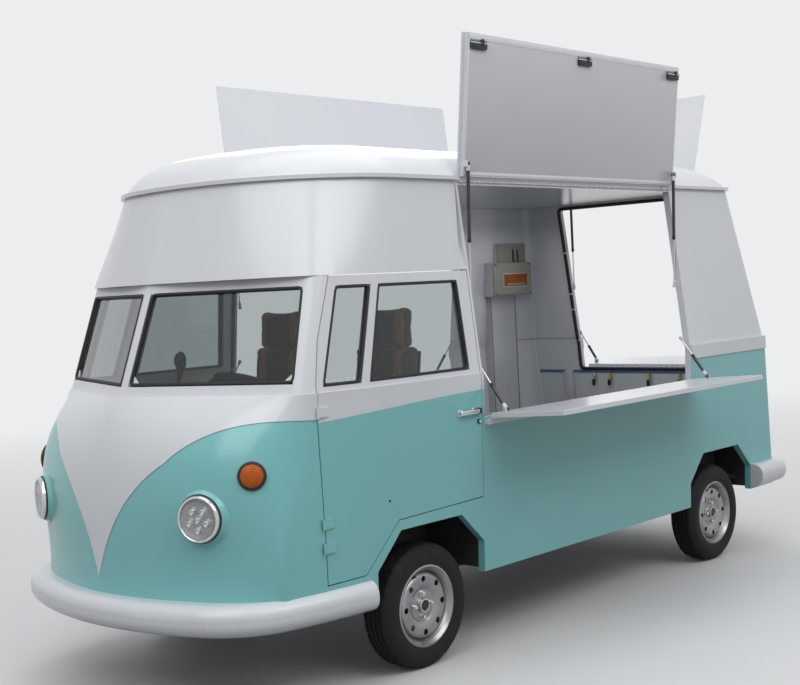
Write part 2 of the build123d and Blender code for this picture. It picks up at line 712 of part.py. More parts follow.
# Steering knuckles: a fork over the axle's boss, the kingpin, a spindle and an arm
SPINDLE_RADIUS = 18
with BuildPart() as front_left_knuckle:
    for end_z in (-68, 68):
        with Locations((AXLE_FRONT_X, KINGPIN_Y, TYRE_RADIUS + end_z)):
            Cylinder(24, 24)
        with Locations((AXLE_FRONT_X, KINGPIN_Y + 26, TYRE_RADIUS + end_z)):
            Box(44, 52, 24)
    with Locations((AXLE_FRONT_X, KINGPIN_Y, TYRE_RADIUS)):
        Cylinder(KINGPIN_RADIUS, 158)
    with Locations((AXLE_FRONT_X, KINGPIN_Y + 44, TYRE_RADIUS)):
        Box(56, 20, 160)
    with BuildSketch(Plane.XZ.offset(-KINGPIN_Y - 40)):
        with Locations((AXLE_FRONT_X, TYRE_RADIUS)):
            Circle(SPINDLE_RADIUS)
    extrude(amount=-(WHEEL_CENTRE_Y + 20 - KINGPIN_Y - 40))
    with BuildSketch(Plane.XY.offset(TYRE_RADIUS - 80)):
        with BuildLine():
            Polyline(
                (AXLE_FRONT_X + 15, KINGPIN_Y + 10),
                (AXLE_FRONT_X - 150, KINGPIN_Y - 34),
                (AXLE_FRONT_X - 150, KINGPIN_Y - 60),
                (AXLE_FRONT_X - 15, KINGPIN_Y - 18),
                close=True,
            )
        make_face()
    extrude(amount=16)
finish(front_left_knuckle.part, "front_left_knuckle")
with BuildPart() as front_right_knuckle:
    add(front_left_knuckle.part)
    mirror(about=Plane.XZ, mode=Mode.REPLACE)
finish(front_right_knuckle.part, "front_right_knuckle")

# Wheels: a tyre with rounded shoulders on a pressed steel rim with round vent holes
RIM_FLANGE_RADIUS = 190
RIM_BED_RADIUS = 168
VENT_COUNT = 8
VENT_CIRCLE = 125
Wheel = namedtuple("Wheel", "name x side bore")
WHEELS = [
    Wheel("front_left", AXLE_FRONT_X, 1, SPINDLE_RADIUS + 0.06),
    Wheel("front_right", AXLE_FRONT_X, -1, SPINDLE_RADIUS + 0.06),
    Wheel("rear_left", AXLE_REAR_X, 1, REAR_SPINDLE_RADIUS + 0.06),
    Wheel("rear_right", AXLE_REAR_X, -1, REAR_SPINDLE_RADIUS + 0.06),
]

with BuildPart() as tyre_form:
    with BuildSketch(Plane.XZ):
        with BuildLine():
            Polyline((176, -66), (190, -70), (190, -74), (196, -78))
            ThreePointArc((196, -78), (238, -82.5), (274, -68))
            ThreePointArc((274, -68), (287, -60), (TYRE_RADIUS - 1, -48))
            ThreePointArc((TYRE_RADIUS - 1, -48), (TYRE_RADIUS, 0), (TYRE_RADIUS - 1, 48))
            ThreePointArc((TYRE_RADIUS - 1, 48), (287, 60), (274, 68))
            ThreePointArc((274, 68), (238, 82.5), (196, 78))
            Polyline((196, 78), (190, 74), (190, 70), (176, 66), (176, -66))
        make_face()
    revolve(axis=Axis.Z)

with BuildPart() as rim_form:
    with BuildSketch(Plane.XZ):
        with BuildLine():
            Polyline(
                (176, -66),
                (190, -70),
                (190, -74),
                (182, -76),
                (170, -68),
                (160, -52),
                (146, -44),
                (146, 20),
                (158, 44),
                (168, 62),
                (182, 76),
                (190, 74),
                (190, 70),
                (176, 66),
                (162, 40),
                (152, 16),
                (152, -40),
                (166, -48),
                close=True,
            )
        make_face()
        with BuildLine():
            ThreePointArc((156, 37), (147, 53), (128, 58))
            Line((128, 58), (108, 57))
            ThreePointArc((108, 57), (88, 52), (74, 44))
            Polyline((74, 44), (0, 44), (0, 36), (78, 36))
            ThreePointArc((78, 36), (92, 44), (108, 49))
            Line((108, 49), (127, 50))
            ThreePointArc((127, 50), (140, 46), (147, 30))
            Polyline((147, 30), (152, 28), (156, 37))
        make_face()
        with BuildLine():
            Polyline((0, -24), (34, -24), (34, 40), (0, 40), close=True)
        make_face()
    revolve(axis=Axis.Z)
    with PolarLocations(VENT_CIRCLE, VENT_COUNT):
        Hole(14)
    with Locations((0, 0, 50)):
        Cylinder(30, 20)
    cap_edges = rim_form.edges().filter_by(GeomType.CIRCLE).filter_by(lambda e: e.radius == 30)
    fillet(cap_edges.sort_by(Axis.Z)[-1], 6)
    with PolarLocations(56, 4):
        with Locations((0, 0, 48)):
            Cylinder(9, 16)

for wheel in WHEELS:
    spin = (-90 * wheel.side, 0, 0)
    with BuildPart() as tyre:
        with Locations((wheel.x, wheel.side * WHEEL_CENTRE_Y, TYRE_RADIUS)):
            add(tyre_form.part, rotation=spin)
    finish(tyre.part, f"{wheel.name}_tyre")
    with BuildPart() as rim:
        with Locations((wheel.x, wheel.side * WHEEL_CENTRE_Y, TYRE_RADIUS)):
            add(rim_form.part, rotation=spin)
        with BuildSketch(Plane.XZ.offset(-wheel.side * (WHEEL_CENTRE_Y + 24))):
            with Locations((wheel.x, TYRE_RADIUS)):
                Circle(wheel.bore)
        extrude(amount=wheel.side * 60, mode=Mode.SUBTRACT)
    finish(rim.part, f"{wheel.name}_rim")

# Dashboard: a shelf under the glass with the steering column standing on it
COLUMN_FOOT = Vector(ahead(830), 400, 800)
WHEEL_HUB = Vector(ahead(575), 400, 1345)
column_axis = (WHEEL_HUB - COLUMN_FOOT).normalized()
with BuildPart() as dashboard:
    with BuildSketch(Plane.XZ.offset(-900)):
        with BuildLine():
            Polyline(
                (ahead(1060), 1010),
                (ahead(740), 1040),
                (ahead(690), 1200),
                (ahead(700), 1296),
                (ahead(760), 1330),
                (ahead(1060), 1330),
                close=True,
            )
        make_face()
    extrude(amount=1800)
    add(cab_form(NOSE_LEVELS, WALL + 1, CAB_BACK, False), mode=Mode.INTERSECT)
    with BuildSketch(Plane(origin=COLUMN_FOOT, z_dir=column_axis)):
        Circle(24)
    extrude(amount=(WHEEL_HUB - COLUMN_FOOT).length - 42)
finish(dashboard.part, "dashboard")

# Steering wheel: rim, hub and two spokes
WHEEL_RIM_RADIUS = 190
hub_plane = Plane(origin=WHEEL_HUB, z_dir=column_axis, x_dir=(0, 1, 0))
with BuildPart() as steering_wheel:
    with BuildSketch(Plane(origin=hub_plane.origin, x_dir=(0, 1, 0), z_dir=hub_plane.y_dir)):
        with Locations((WHEEL_RIM_RADIUS, 0)):
            Circle(13)
    revolve(axis=Axis(hub_plane.origin, hub_plane.z_dir))
    with BuildSketch(hub_plane.offset(-36)):
        Circle(42)
    extrude(amount=40)
    with BuildSketch(hub_plane.offset(-8)):
        Rectangle(2 * WHEEL_RIM_RADIUS - 10, 34)
        with Locations((0, -85)):
            Rectangle(34, 180)
    extrude(amount=12)
finish(steering_wheel.part, "steering_wheel")

# Seats: plain padded forms on a steel box, one for the driver and one for a passenger
SEAT_Y = 385
with BuildPart() as seat_boxes:
    for side in (-1, 1):
        with Locations((ahead(-30), side * 250, (FLOOR_TOP + 830) / 2)):
            Box(420, 250, 830 - FLOOR_TOP)
        with Locations((ahead(-30), side * SEAT_Y, 845)):
            Box(420, 420, 30)
finish(seat_boxes.part, "seat_boxes")
for seat_name, side in (("driver_seat", 1), ("passenger_seat", -1)):
    with BuildPart() as seat:
        with BuildSketch(Plane.XZ.offset(-side * SEAT_Y - 240)):
            with BuildLine():
                Polyline(
                    (ahead(210), 862),
                    (ahead(215), 970),
                    (ahead(-190), 950),
                    (ahead(-262), 1480),
                    (ahead(-262), 1690),
                    (ahead(-345), 1690),
                    (ahead(-365), 1480),
                    (ahead(-320), 940),
                    (ahead(-270), 862),
                    close=True,
                )
            make_face()
        extrude(amount=480)
        for cut in (-1, 1):
            low_y, high_y = sorted((side * SEAT_Y + cut * 135, side * SEAT_Y + cut * 300))
            add(block((ahead(-500), low_y, 1500), (ahead(0), high_y, 1800)), mode=Mode.SUBTRACT)
    finish(seat.part, seat_name)

# Electrical box on the right wall behind its opening, with a duct down to the wheel house
with BuildPart() as electrical_box:
    add(block((ahead(-3055), -905, 1672), (ahead(-2620), -765, 1905)))
    fillet(electrical_box.edges().filter_by(Axis.X), 12)
    add(block((ahead(-3050), -905, 1905), (ahead(-2715), -800, 2040)))
    add(block((ahead(-2960), -905, HOUSE_TOP), (ahead(-2666), -835, 1672)))
    add(kitchen_form(LOWER_LEVELS, WALL, CAB_BACK) + kitchen_form(UPPER_LEVELS, WALL, CAB_BACK),
        mode=Mode.INTERSECT)
finish(electrical_box.part, "electrical_box")

# Serving hatches and counters. Each set is drawn looking along the opening, with x out of
# the wall, y along it and z up, then turned to its side of the vehicle
Serving = namedtuple("Serving", "name turn wall_high wall_low wall_sill half_length middle open_lean")
lean_side = (UPPER_LEVELS[0].half_width - UPPER_LEVELS[1].half_width) / (GUTTER_Z - BELT_Z)
lean_rear = (UPPER_LEVELS[1].rear - UPPER_LEVELS[0].rear) / (GUTTER_Z - BELT_Z)
opening_middle = (ahead(OPENING_FRONT) + ahead(OPENING_REAR)) / 2
opening_half = (OPENING_FRONT - OPENING_REAR) / 2
SERVINGS = [
    Serving("left", 90, 825, lean_side, side_at_sill, opening_half, -opening_middle, 6.2),
    Serving("right", -90, 825, lean_side, side_at_sill, opening_half, opening_middle, 6.2),
    Serving(
        "rear",
        180,
        -ahead(UPPER_LEVELS[1].rear),
        lean_rear,
        -ahead(REAR_COUNTER_HINGE) - COUNTER_PROUD,
        REAR_OPENING_HALF,
        0,
        19.4,
    ),
]
HATCH_THICK = 23
HATCH_SKIN = 3
HATCH_LENGTH = {"left": 703, "right": 703, "rear": 712}
HATCH_CORE_START = 24
HATCH_OVERLAP = 25
EDGE_GAP = 7
COUNTER_THICK = 22
TUBE_RADIUS = 9
ROD_RADIUS = 4
STRUT_INSET = 25
ARM_NEAR = 11
ARM_FAR = 17
STUD_LENGTH = 19
BARREL_RADIUS = 4.5
HATCH_PIN = (85, -36)
HATCH_FOOT_Z = 1700
HATCH_TUBE = 375
COUNTER_PIN = (88, 35)
COUNTER_FOOT_Z = 1390
COUNTER_TUBE = 150


def skin_x(serving, z):
    """Distance of the upper wall's skin from the vehicle's middle at a height."""
    return serving.wall_high + serving.wall_low * (GUTTER_Z - z)


def hatch_frame(serving):
    """Hinge point of the hatch and its length and thickness directions, as it stands open."""
    hinge = (skin_x(serving, HATCH_HINGE_Z) + HATCH_PROUD, HATCH_HINGE_Z)
    lean = math.radians(serving.open_lean)
    along = (math.sin(lean), math.cos(lean))
    outward = (-math.cos(lean), math.sin(lean))
    return hinge, along, outward


def hatch_point(serving, s, n):
    """A point of the open hatch, s from the hinge and n out of its weather face."""
    hinge, along, outward = hatch_frame(serving)
    return (hinge[0] + s * along[0] + n * outward[0], hinge[1] + s * along[1] + n * outward[1])


def wall_prism(serving, outline, low_y, high_y):
    """A prism along the wall with a cross-section outline in x and z."""
    with BuildPart() as prism:
        with BuildSketch(Plane.XZ.offset(-(serving.middle + high_y))):
            with BuildLine():
                Polyline(outline, close=True)
            make_face()
        extrude(amount=high_y - low_y)
    return prism.part


def counter_hinge(serving):
    """Hinge line of the counter, out of the wall and up."""
    return (serving.wall_sill + COUNTER_PROUD, COUNTER_HINGE_Z)


def counter_point(serving, out, up):
    """A point of the open counter, which rises slightly away from the wall."""
    tilt = math.radians(COUNTER_TILT)
    x, z = counter_hinge(serving)
    return (
        x + out * math.cos(tilt) - up * math.sin(tilt),
        z + out * math.sin(tilt) + up * math.cos(tilt),
    )


def strut_points(serving, kind):
    """Upper and lower eye of a strut as the panel stands open: panel end, then wall end."""
    if kind == "hatch":
        panel = hatch_point(serving, *HATCH_PIN)
        wall = (skin_x(serving, HATCH_FOOT_Z) - 33, HATCH_FOOT_Z)
    else:
        panel = counter_point(serving, *COUNTER_PIN)
        wall = (skin_x(serving, COUNTER_FOOT_Z) - WALL, COUNTER_FOOT_Z)
    return panel, wall


def strut_lines(serving):
    """The y of the strut at each end of the opening, with the way to the nearer jamb."""
    reach = serving.half_length - STRUT_INSET
    return [(serving.middle - reach, -1), (serving.middle + reach, 1)]


def round_bar(point, y, length, radius):
    """A round bar along y that starts at y, for a strut's pin or a hinge barrel."""
    with BuildPart() as bar:
        with BuildSketch(Plane.XZ.offset(-y)):
            with Locations(point):
                Circle(radius)
        extrude(amount=-length)
    return bar.part


def arm_span(y, toward):
    """Low and high y of the arm that carries a strut's pin."""
    return sorted((y + toward * ARM_NEAR, y + toward * ARM_FAR))


for serving in SERVINGS:
    length = HATCH_LENGTH[serving.name]
    half = serving.half_length
    turned = (0, 0, serving.turn)
    with BuildPart() as hatch:
        with BuildPart(mode=Mode.PRIVATE) as hatch_body:
            skin = [(4, -HATCH_SKIN), (4, 0), (length, 0), (length, -HATCH_SKIN)]
            core = [
                (HATCH_CORE_START, -HATCH_THICK),
                (HATCH_CORE_START, -HATCH_SKIN),
                (length, -HATCH_SKIN),
                (length, -HATCH_THICK),
            ]
            add(
                wall_prism(
                    serving,
                    [hatch_point(serving, s, n) for s, n in skin],
                    -half - HATCH_OVERLAP,
                    half + (HATCH_OVERLAP if serving.name == "rear" else 14),
                )
                if serving.turn < 0 or serving.name == "rear"
                else wall_prism(
                    serving,
                    [hatch_point(serving, s, n) for s, n in skin],
                    -half - 14,
                    half + HATCH_OVERLAP,
                )
            )
            add(
                wall_prism(
                    serving,
                    [hatch_point(serving, s, n) for s, n in core],
                    -half + EDGE_GAP,
                    half - EDGE_GAP,
                )
            )
            for y, toward in strut_lines(serving):
                arm = [(s, n) for s, n in ((70, -46), (100, -46), (100, -22), (70, -22))]
                low_y, high_y = arm_span(y - serving.middle, toward)
                add(
                    wall_prism(serving, [hatch_point(serving, s, n) for s, n in arm], low_y, high_y)
                )
                pin = hatch_point(serving, *HATCH_PIN)
                add(round_bar(pin, y - toward * 5, toward * STUD_LENGTH, 4))
            barrel = hatch_frame(serving)[0]
            add(round_bar(barrel, serving.middle - half + 2, 2 * half - 4, BARREL_RADIUS))
        add(hatch_body.part, rotation=turned)
    finish(hatch.part, f"{serving.name}_hatch")
    with BuildPart() as counter:
        with BuildPart(mode=Mode.PRIVATE) as counter_body:
            board = [(3, 0), (COUNTER_DEPTH, 0), (COUNTER_DEPTH, COUNTER_THICK), (3, COUNTER_THICK)]
            board = [counter_point(serving, out, up) for out, up in board]
            add(wall_prism(serving, board, -half + EDGE_GAP, half - EDGE_GAP))
            middle_out, pin_up = COUNTER_PIN
            arm = [(-12, 20), (12, 20), (8, 44), (-8, 44)]
            arm = [counter_point(serving, middle_out + out, up) for out, up in arm]
            for y, toward in strut_lines(serving):
                low_y, high_y = arm_span(y - serving.middle, toward)
                add(wall_prism(serving, arm, low_y, high_y))
                pin = counter_point(serving, *COUNTER_PIN)
                add(round_bar(pin, y - toward * 5, toward * STUD_LENGTH, 4))
            barrel = counter_hinge(serving)
            add(round_bar(barrel, serving.middle - half + 9, 2 * half - 18, BARREL_RADIUS))
        add(counter_body.part, rotation=turned)
    finish(counter.part, f"{serving.name}_counter")
    for kind, tube_length, inside in (("hatch", HATCH_TUBE, 30), ("counter", COUNTER_TUBE, 12)):
        panel, wall = strut_points(serving, kind)
        reach = math.dist(panel, wall)
        with BuildPart() as tubes:
            with BuildPart(mode=Mode.PRIVATE) as tube_pair:
                for y, toward in strut_lines(serving):
                    start = Vector(panel[0], y, panel[1])
                    end = Vector(wall[0], y, wall[1])
                    way = (end - start).normalized()
                    with BuildSketch(Plane(origin=start + way * 8, z_dir=way)):
                        Circle(TUBE_RADIUS)
                    extrude(amount=tube_length - 8)
                    with BuildSketch(Plane(origin=start + way * 22, z_dir=way)):
                        Circle(ROD_RADIUS + 0.5)
                    extrude(amount=tube_length, mode=Mode.SUBTRACT)
                    with BuildSketch(Plane.XZ.offset(-y - 5)):
                        with Locations(panel):
                            Circle(10)
                    extrude(amount=10)
                    with BuildSketch(Plane.XZ.offset(-y - 5)):
                        with Locations(panel):
                            Circle(4.06)
                    extrude(amount=10, mode=Mode.SUBTRACT)
            add(tube_pair.part, rotation=turned)
        finish(tubes.part, f"{serving.name}_{kind}_strut_tubes")
        with BuildPart() as rods:
            with BuildPart(mode=Mode.PRIVATE) as rod_pair:
                for y, toward in strut_lines(serving):
                    start = Vector(panel[0], y, panel[1])
                    end = Vector(wall[0], y, wall[1])
                    way = (end - start).normalized()
                    with BuildSketch(Plane(origin=start + way * (tube_length - inside), z_dir=way)):
                        Circle(ROD_RADIUS)
                    extrude(amount=reach - tube_length + inside - 5)
                    with BuildSketch(Plane.XZ.offset(-y - 5)):
                        with Locations(wall):
                            Circle(9)
                    extrude(amount=10)
            add(rod_pair.part, rotation=turned)
        finish(rods.part, f"{serving.name}_{kind}_strut_rods")
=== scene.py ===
"""Ice cream truck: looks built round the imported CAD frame. Metres, +X forward, +Z up."""

import json
import math

import bmesh
import bpy
from mathutils import Matrix, Vector
from mathutils.bvhtree import BVHTree

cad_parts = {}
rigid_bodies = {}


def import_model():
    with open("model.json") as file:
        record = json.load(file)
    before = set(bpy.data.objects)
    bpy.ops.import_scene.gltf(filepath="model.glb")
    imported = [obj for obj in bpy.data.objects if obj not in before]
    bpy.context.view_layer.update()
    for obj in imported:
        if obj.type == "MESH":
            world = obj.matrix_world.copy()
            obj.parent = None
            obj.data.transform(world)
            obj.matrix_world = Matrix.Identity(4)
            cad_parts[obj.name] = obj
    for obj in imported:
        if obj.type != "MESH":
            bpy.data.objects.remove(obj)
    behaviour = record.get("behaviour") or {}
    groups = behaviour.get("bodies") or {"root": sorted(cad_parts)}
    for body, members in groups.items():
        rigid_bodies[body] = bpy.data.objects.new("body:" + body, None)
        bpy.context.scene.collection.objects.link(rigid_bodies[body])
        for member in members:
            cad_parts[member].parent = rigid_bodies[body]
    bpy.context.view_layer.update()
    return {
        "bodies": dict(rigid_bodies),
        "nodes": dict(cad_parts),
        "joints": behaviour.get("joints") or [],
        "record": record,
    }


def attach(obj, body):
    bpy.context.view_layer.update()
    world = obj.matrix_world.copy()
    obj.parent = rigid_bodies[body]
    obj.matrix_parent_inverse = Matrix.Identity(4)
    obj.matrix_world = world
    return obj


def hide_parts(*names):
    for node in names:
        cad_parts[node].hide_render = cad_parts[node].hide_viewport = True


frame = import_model()
NODES = frame["nodes"]
SIDES = (("left", 1), ("right", -1))

# Driving dimensions: x from the front axle, y from the centreline, z from the ground
AXLE = 1.242
WHEELBASE = 2.672
WHEEL_Y, WHEEL_Z = 0.781, 0.291
SEAT_Y = 0.385
STRIPE, STRIPE_HALF = 0.116, 0.026
BELT_Z = 1.267

# Places from which rays look at a surface: ahead of the cab, beside it, and in the kitchen
AHEAD_X, BESIDE_Y, KITCHEN_X = 1.6, 1.3, -2.7

MINT = (0.196, 0.509, 0.511, 1)
WHITE = (0.665, 0.680, 0.700, 1)
PANEL_WHITE = (0.53, 0.54, 0.55, 1)
COUNTER_WHITE = (0.66, 0.67, 0.69, 1)
ROAD_GRIME = (0.30, 0.29, 0.26, 1)
DRY_DUST = (0.33, 0.31, 0.28, 1)
SPECK = (0.36, 0.37, 0.36, 1)
BACKDROP = (0.84, 0.85, 0.86, 1)


# Node helpers
class Tree:
    """The node tree of a material or world, with short calls to add and join nodes."""

    def __init__(self, name, world=False):
        self.mat = (bpy.data.worlds if world else bpy.data.materials).new(name)
        self.mat.use_nodes = True
        self.t = self.mat.node_tree
        self.t.nodes.clear()
        self.out = self.add("ShaderNodeOutputWorld" if world else "ShaderNodeOutputMaterial")
        if not world:
            self.coord = self.add("ShaderNodeTexCoord").outputs["Object"]

    def add(self, kind, props=None, *values, **inputs):
        """A new node with its settings, and with its inputs by place or by name."""
        n = self.t.nodes.new(kind)
        for k, v in (props or {}).items():
            setattr(n, k, v)
        for i, v in enumerate(values):
            self.put(n, i, v)
        for k, v in inputs.items():
            self.put(n, k.replace("_", " "), v)
        return n

    def put(self, n, key, v):
        s = n.inputs[key]
        if isinstance(v, bpy.types.NodeSocket):
            self.t.links.new(v, s)
        else:
            s.default_value = v

    def math(self, op, *values):
        return self.add("ShaderNodeMath", {"operation": op}, *values).outputs[0]

    def noise(self, scale, detail=4, rough=0.55):
        n = self.add("ShaderNodeTexNoise", Vector=self.coord, Scale=scale, Detail=detail, Roughness=rough)
        return n.outputs["Fac"]

    def ramp(self, fac, low, high):
        """Grey from low's value to high's; each is a (position, value) pair."""
        n = self.add("ShaderNodeValToRGB", Fac=fac)
        for e, (position, value) in zip(n.color_ramp.elements, (low, high)):
            e.position = position
            e.color = (value, value, value, 1)
        return n.outputs["Color"]

    def mix(self, fac, a, b):
        n = self.add("ShaderNodeMix", {"data_type": "RGBA"})
        for socket, v in ((0, fac), (6, a), (7, b)):
            self.put(n, socket, v)
        return n.outputs[2]

    def split(self, vector):
        return self.add("ShaderNodeSeparateXYZ", None, vector).outputs

    def bump(self, height, strength, distance, normal=None):
        n = self.add("ShaderNodeBump", Strength=strength, Distance=distance, Height=height)
        if normal is not None:
            self.put(n, "Normal", normal)
        return n.outputs["Normal"]

    def smoothstep(self, x, low, high):
        """A soft ramp of x, 0 at low and 1 at high."""
        kind = {"interpolation_type": "SMOOTHSTEP"}
        return self.add("ShaderNodeMapRange", kind, x, low, high, 0.0, 1.0).outputs[0]

    def shader(self, kind="ShaderNodeBsdfPrincipled", **inputs):
        return self.add(kind, **inputs).outputs[0]

    def blend(self, fac, a, b):
        """Shader a where fac is 0, shader b where it is 1."""
        return self.add("ShaderNodeMixShader", None, fac, a, b).outputs[0]

    def seen(self):
        """1 for what the camera, a mirror or glass looks at, 0 for light on the object."""
        rays = self.add("ShaderNodeLightPath").outputs
        seen = self.math("MAXIMUM", rays["Is Camera Ray"], rays["Is Glossy Ray"])
        return self.math("MAXIMUM", seen, rays["Is Transmission Ray"])

    def finish(self, surface):
        self.put(self.out, "Surface", surface)
        return self.mat


def shade(colour, *factors):
    """The colour with its red, green and blue each made a little darker."""
    return tuple(c * f for c, f in zip(colour, factors)) + (1,)


# Paints
def body_paint(name, two_tone=None, base=WHITE):
    """Sprayed gloss paint on hand-laid panels: slight waves, orange peel, dust low down."""
    t = Tree(name)
    place = t.split(t.coord)
    normal = t.split(t.add("ShaderNodeNewGeometry").outputs["Normal"])
    patches = t.noise(1.7, 3)
    colour = t.mix(t.ramp(patches, (0.35, 0.0), (0.65, 1.0)), shade(base, 0.965, 0.97, 0.985), base)
    if two_tone:
        mint = t.mix(t.ramp(patches, (0.3, 0.0), (0.7, 1.0)), shade(MINT, 0.93, 0.96, 0.96), MINT)
        colour = t.mix(two_tone(t, place, normal), colour, mint)
    splashes = t.ramp(t.noise(9, 6, 0.7), (0.40, 0.0), (0.85, 0.07))
    grime = t.math("MULTIPLY", t.smoothstep(place[2], 0.62, 0.30), splashes)
    colour = t.mix(grime, colour, ROAD_GRIME)
    colour = t.mix(t.ramp(t.noise(310, 2), (0.74, 0.0), (0.80, 0.12)), colour, SPECK)
    rough = t.math("ADD", t.math("MULTIPLY", t.noise(22, 4), 0.10), t.math("MULTIPLY", grime, 0.5))
    rough = t.math("ADD", rough, 0.20)
    waves = t.bump(t.noise(2.3, 2), 0.10, 0.02)
    peel = t.bump(t.noise(240, 2), 0.035, 0.002, waves)
    gloss = t.shader(Base_Color=colour, Roughness=rough, Normal=peel, Coat_Weight=0.30, Coat_Roughness=0.16)
    return t.finish(gloss)


DOOR_LINE_REAR, DOOR_LINE_FRONT = AXLE - 0.38, AXLE + 0.18
DOOR_LINE_Z, DOOR_LINE_SLOPE, DOOR_LINE_BEND = 1.2665, -0.03214, -0.02912
ARCH_Z, ARCH_Y = 0.74, 0.8
REAR_WALL_X = -1.9
NOSE_EDGE_Z = 1.340


def below_door_line(t, place, normal):
    """1 below the painted line on the doors, which falls towards the nose."""
    x, y, z = place
    d = t.math("SUBTRACT", x, DOOR_LINE_REAR)
    e = t.math("SUBTRACT", x, DOOR_LINE_FRONT)
    line = t.math("ADD", t.math("MULTIPLY", d, DOOR_LINE_SLOPE), DOOR_LINE_Z)
    line = t.math("ADD", line, t.math("MULTIPLY", t.math("MULTIPLY", d, e), DOOR_LINE_BEND))
    return t.math("LESS_THAN", z, line)


def below_kitchen_belt(t, place, normal):
    """1 on the outer faces under the belt moulding; 0 on inner faces and on the jambs."""
    x, y, z = place
    nx, ny, nz = normal
    side = t.math("GREATER_THAN", t.math("MULTIPLY", ny, t.math("SIGN", y)), 0.2)
    rear = t.math("MULTIPLY", t.math("LESS_THAN", nx, -0.2), t.math("LESS_THAN", x, REAR_WALL_X))
    far_out = t.math("GREATER_THAN", t.math("ABSOLUTE", y), ARCH_Y)
    low_edge = t.math("MULTIPLY", t.math("LESS_THAN", z, ARCH_Z), far_out)
    outer = t.math("MAXIMUM", t.math("MAXIMUM", side, rear), low_edge)
    return t.math("MULTIPLY", outer, t.math("LESS_THAN", z, BELT_Z))


def below_nose_edge(t, place, normal):
    """1 everywhere but on the nose panel's hidden upper edge."""
    return t.math("LESS_THAN", place[2], NOSE_EDGE_Z)


# Other finishes
def plain(name, colour, rough, metallic=0.0, grain=60, bump=0.05, distance=0.002, vary=0.12, coat=0.0,
          dust=0.0, specular=0.5):
    """A general finish with small changes of colour and roughness and a fine grain."""
    t = Tree(name)
    patches = t.ramp(t.noise(grain * 0.12, 4), (0.35, 0.0), (0.65, 1.0))
    shown = t.mix(patches, shade(colour, *[1 - vary] * 3), colour)
    if dust:
        nz = t.split(t.add("ShaderNodeNewGeometry").outputs["Normal"])[2]
        settled = t.ramp(t.noise(6, 5), (0.4, 0.0), (0.8, dust))
        shown = t.mix(t.math("MULTIPLY", t.math("MAXIMUM", nz, 0.15), settled), shown, DRY_DUST)
    uneven = t.math("ADD", t.math("MULTIPLY", t.noise(grain * 0.4, 4), 0.16), rough - 0.08)
    grained = t.bump(t.noise(grain, 3), bump, distance)
    return t.finish(t.shader(
        Base_Color=shown, Roughness=uneven, Metallic=metallic, Normal=grained, Coat_Weight=coat,
        Specular_IOR_Level=specular,
    ))


def glass(name, tint, ribs=0):
    """Clear glass that lets light through to what is behind it, with upright ribs if wanted."""
    t = Tree(name)
    smear = t.ramp(t.noise(5, 5), (0.5, 0.0), (0.9, 0.10))
    pane = t.add(
        "ShaderNodeBsdfPrincipled", Base_Color=tint, Roughness=smear, Transmission_Weight=1.0, IOR=1.45,
        Specular_IOR_Level=0.3,
    )
    if ribs:
        wave = t.add("ShaderNodeTexWave", {"bands_direction": "Y"}, t.coord, Scale=ribs)
        t.put(pane, "Normal", t.bump(wave.outputs["Fac"], 0.35, 0.002))
    clear = t.shader("ShaderNodeBsdfTransparent", Color=tint)
    shadow = t.add("ShaderNodeLightPath").outputs["Is Shadow Ray"]
    return t.finish(t.blend(shadow, pane.outputs[0], clear))


def seat_cloth(name):
    """Black woven cloth with a brown-orange stripe inside each dark grey bolster."""
    t = Tree(name)
    x, y, z = t.split(t.coord)
    off = t.math("ABSOLUTE", t.math("SUBTRACT", t.math("ABSOLUTE", y), SEAT_Y))
    stripe = t.math("LESS_THAN", t.math("ABSOLUTE", t.math("SUBTRACT", off, STRIPE)), STRIPE_HALF)
    bolster = t.math("GREATER_THAN", off, STRIPE)
    black = t.mix(t.noise(35, 5), (0.012, 0.012, 0.013, 1), (0.034, 0.033, 0.034, 1))
    grey = t.mix(t.noise(35, 5), (0.040, 0.043, 0.048, 1), (0.075, 0.079, 0.085, 1))
    orange = t.mix(t.noise(50, 4), (0.44, 0.150, 0.026, 1), (0.60, 0.225, 0.045, 1))
    colour = t.mix(stripe, t.mix(bolster, black, grey), orange)
    rough = t.math("ADD", t.math("MULTIPLY", t.noise(60, 4), 0.15), 0.72)
    wave = t.add(
        "ShaderNodeTexWave", {"bands_direction": "DIAGONAL"}, t.coord, Scale=210, Distortion=2.5, Detail=2,
    )
    weave = t.bump(wave.outputs["Fac"], 0.12, 0.0015, t.bump(t.noise(14, 4), 0.15, 0.006))
    return t.finish(t.shader(Base_Color=colour, Roughness=rough, Normal=weave, Sheen_Weight=0.25))


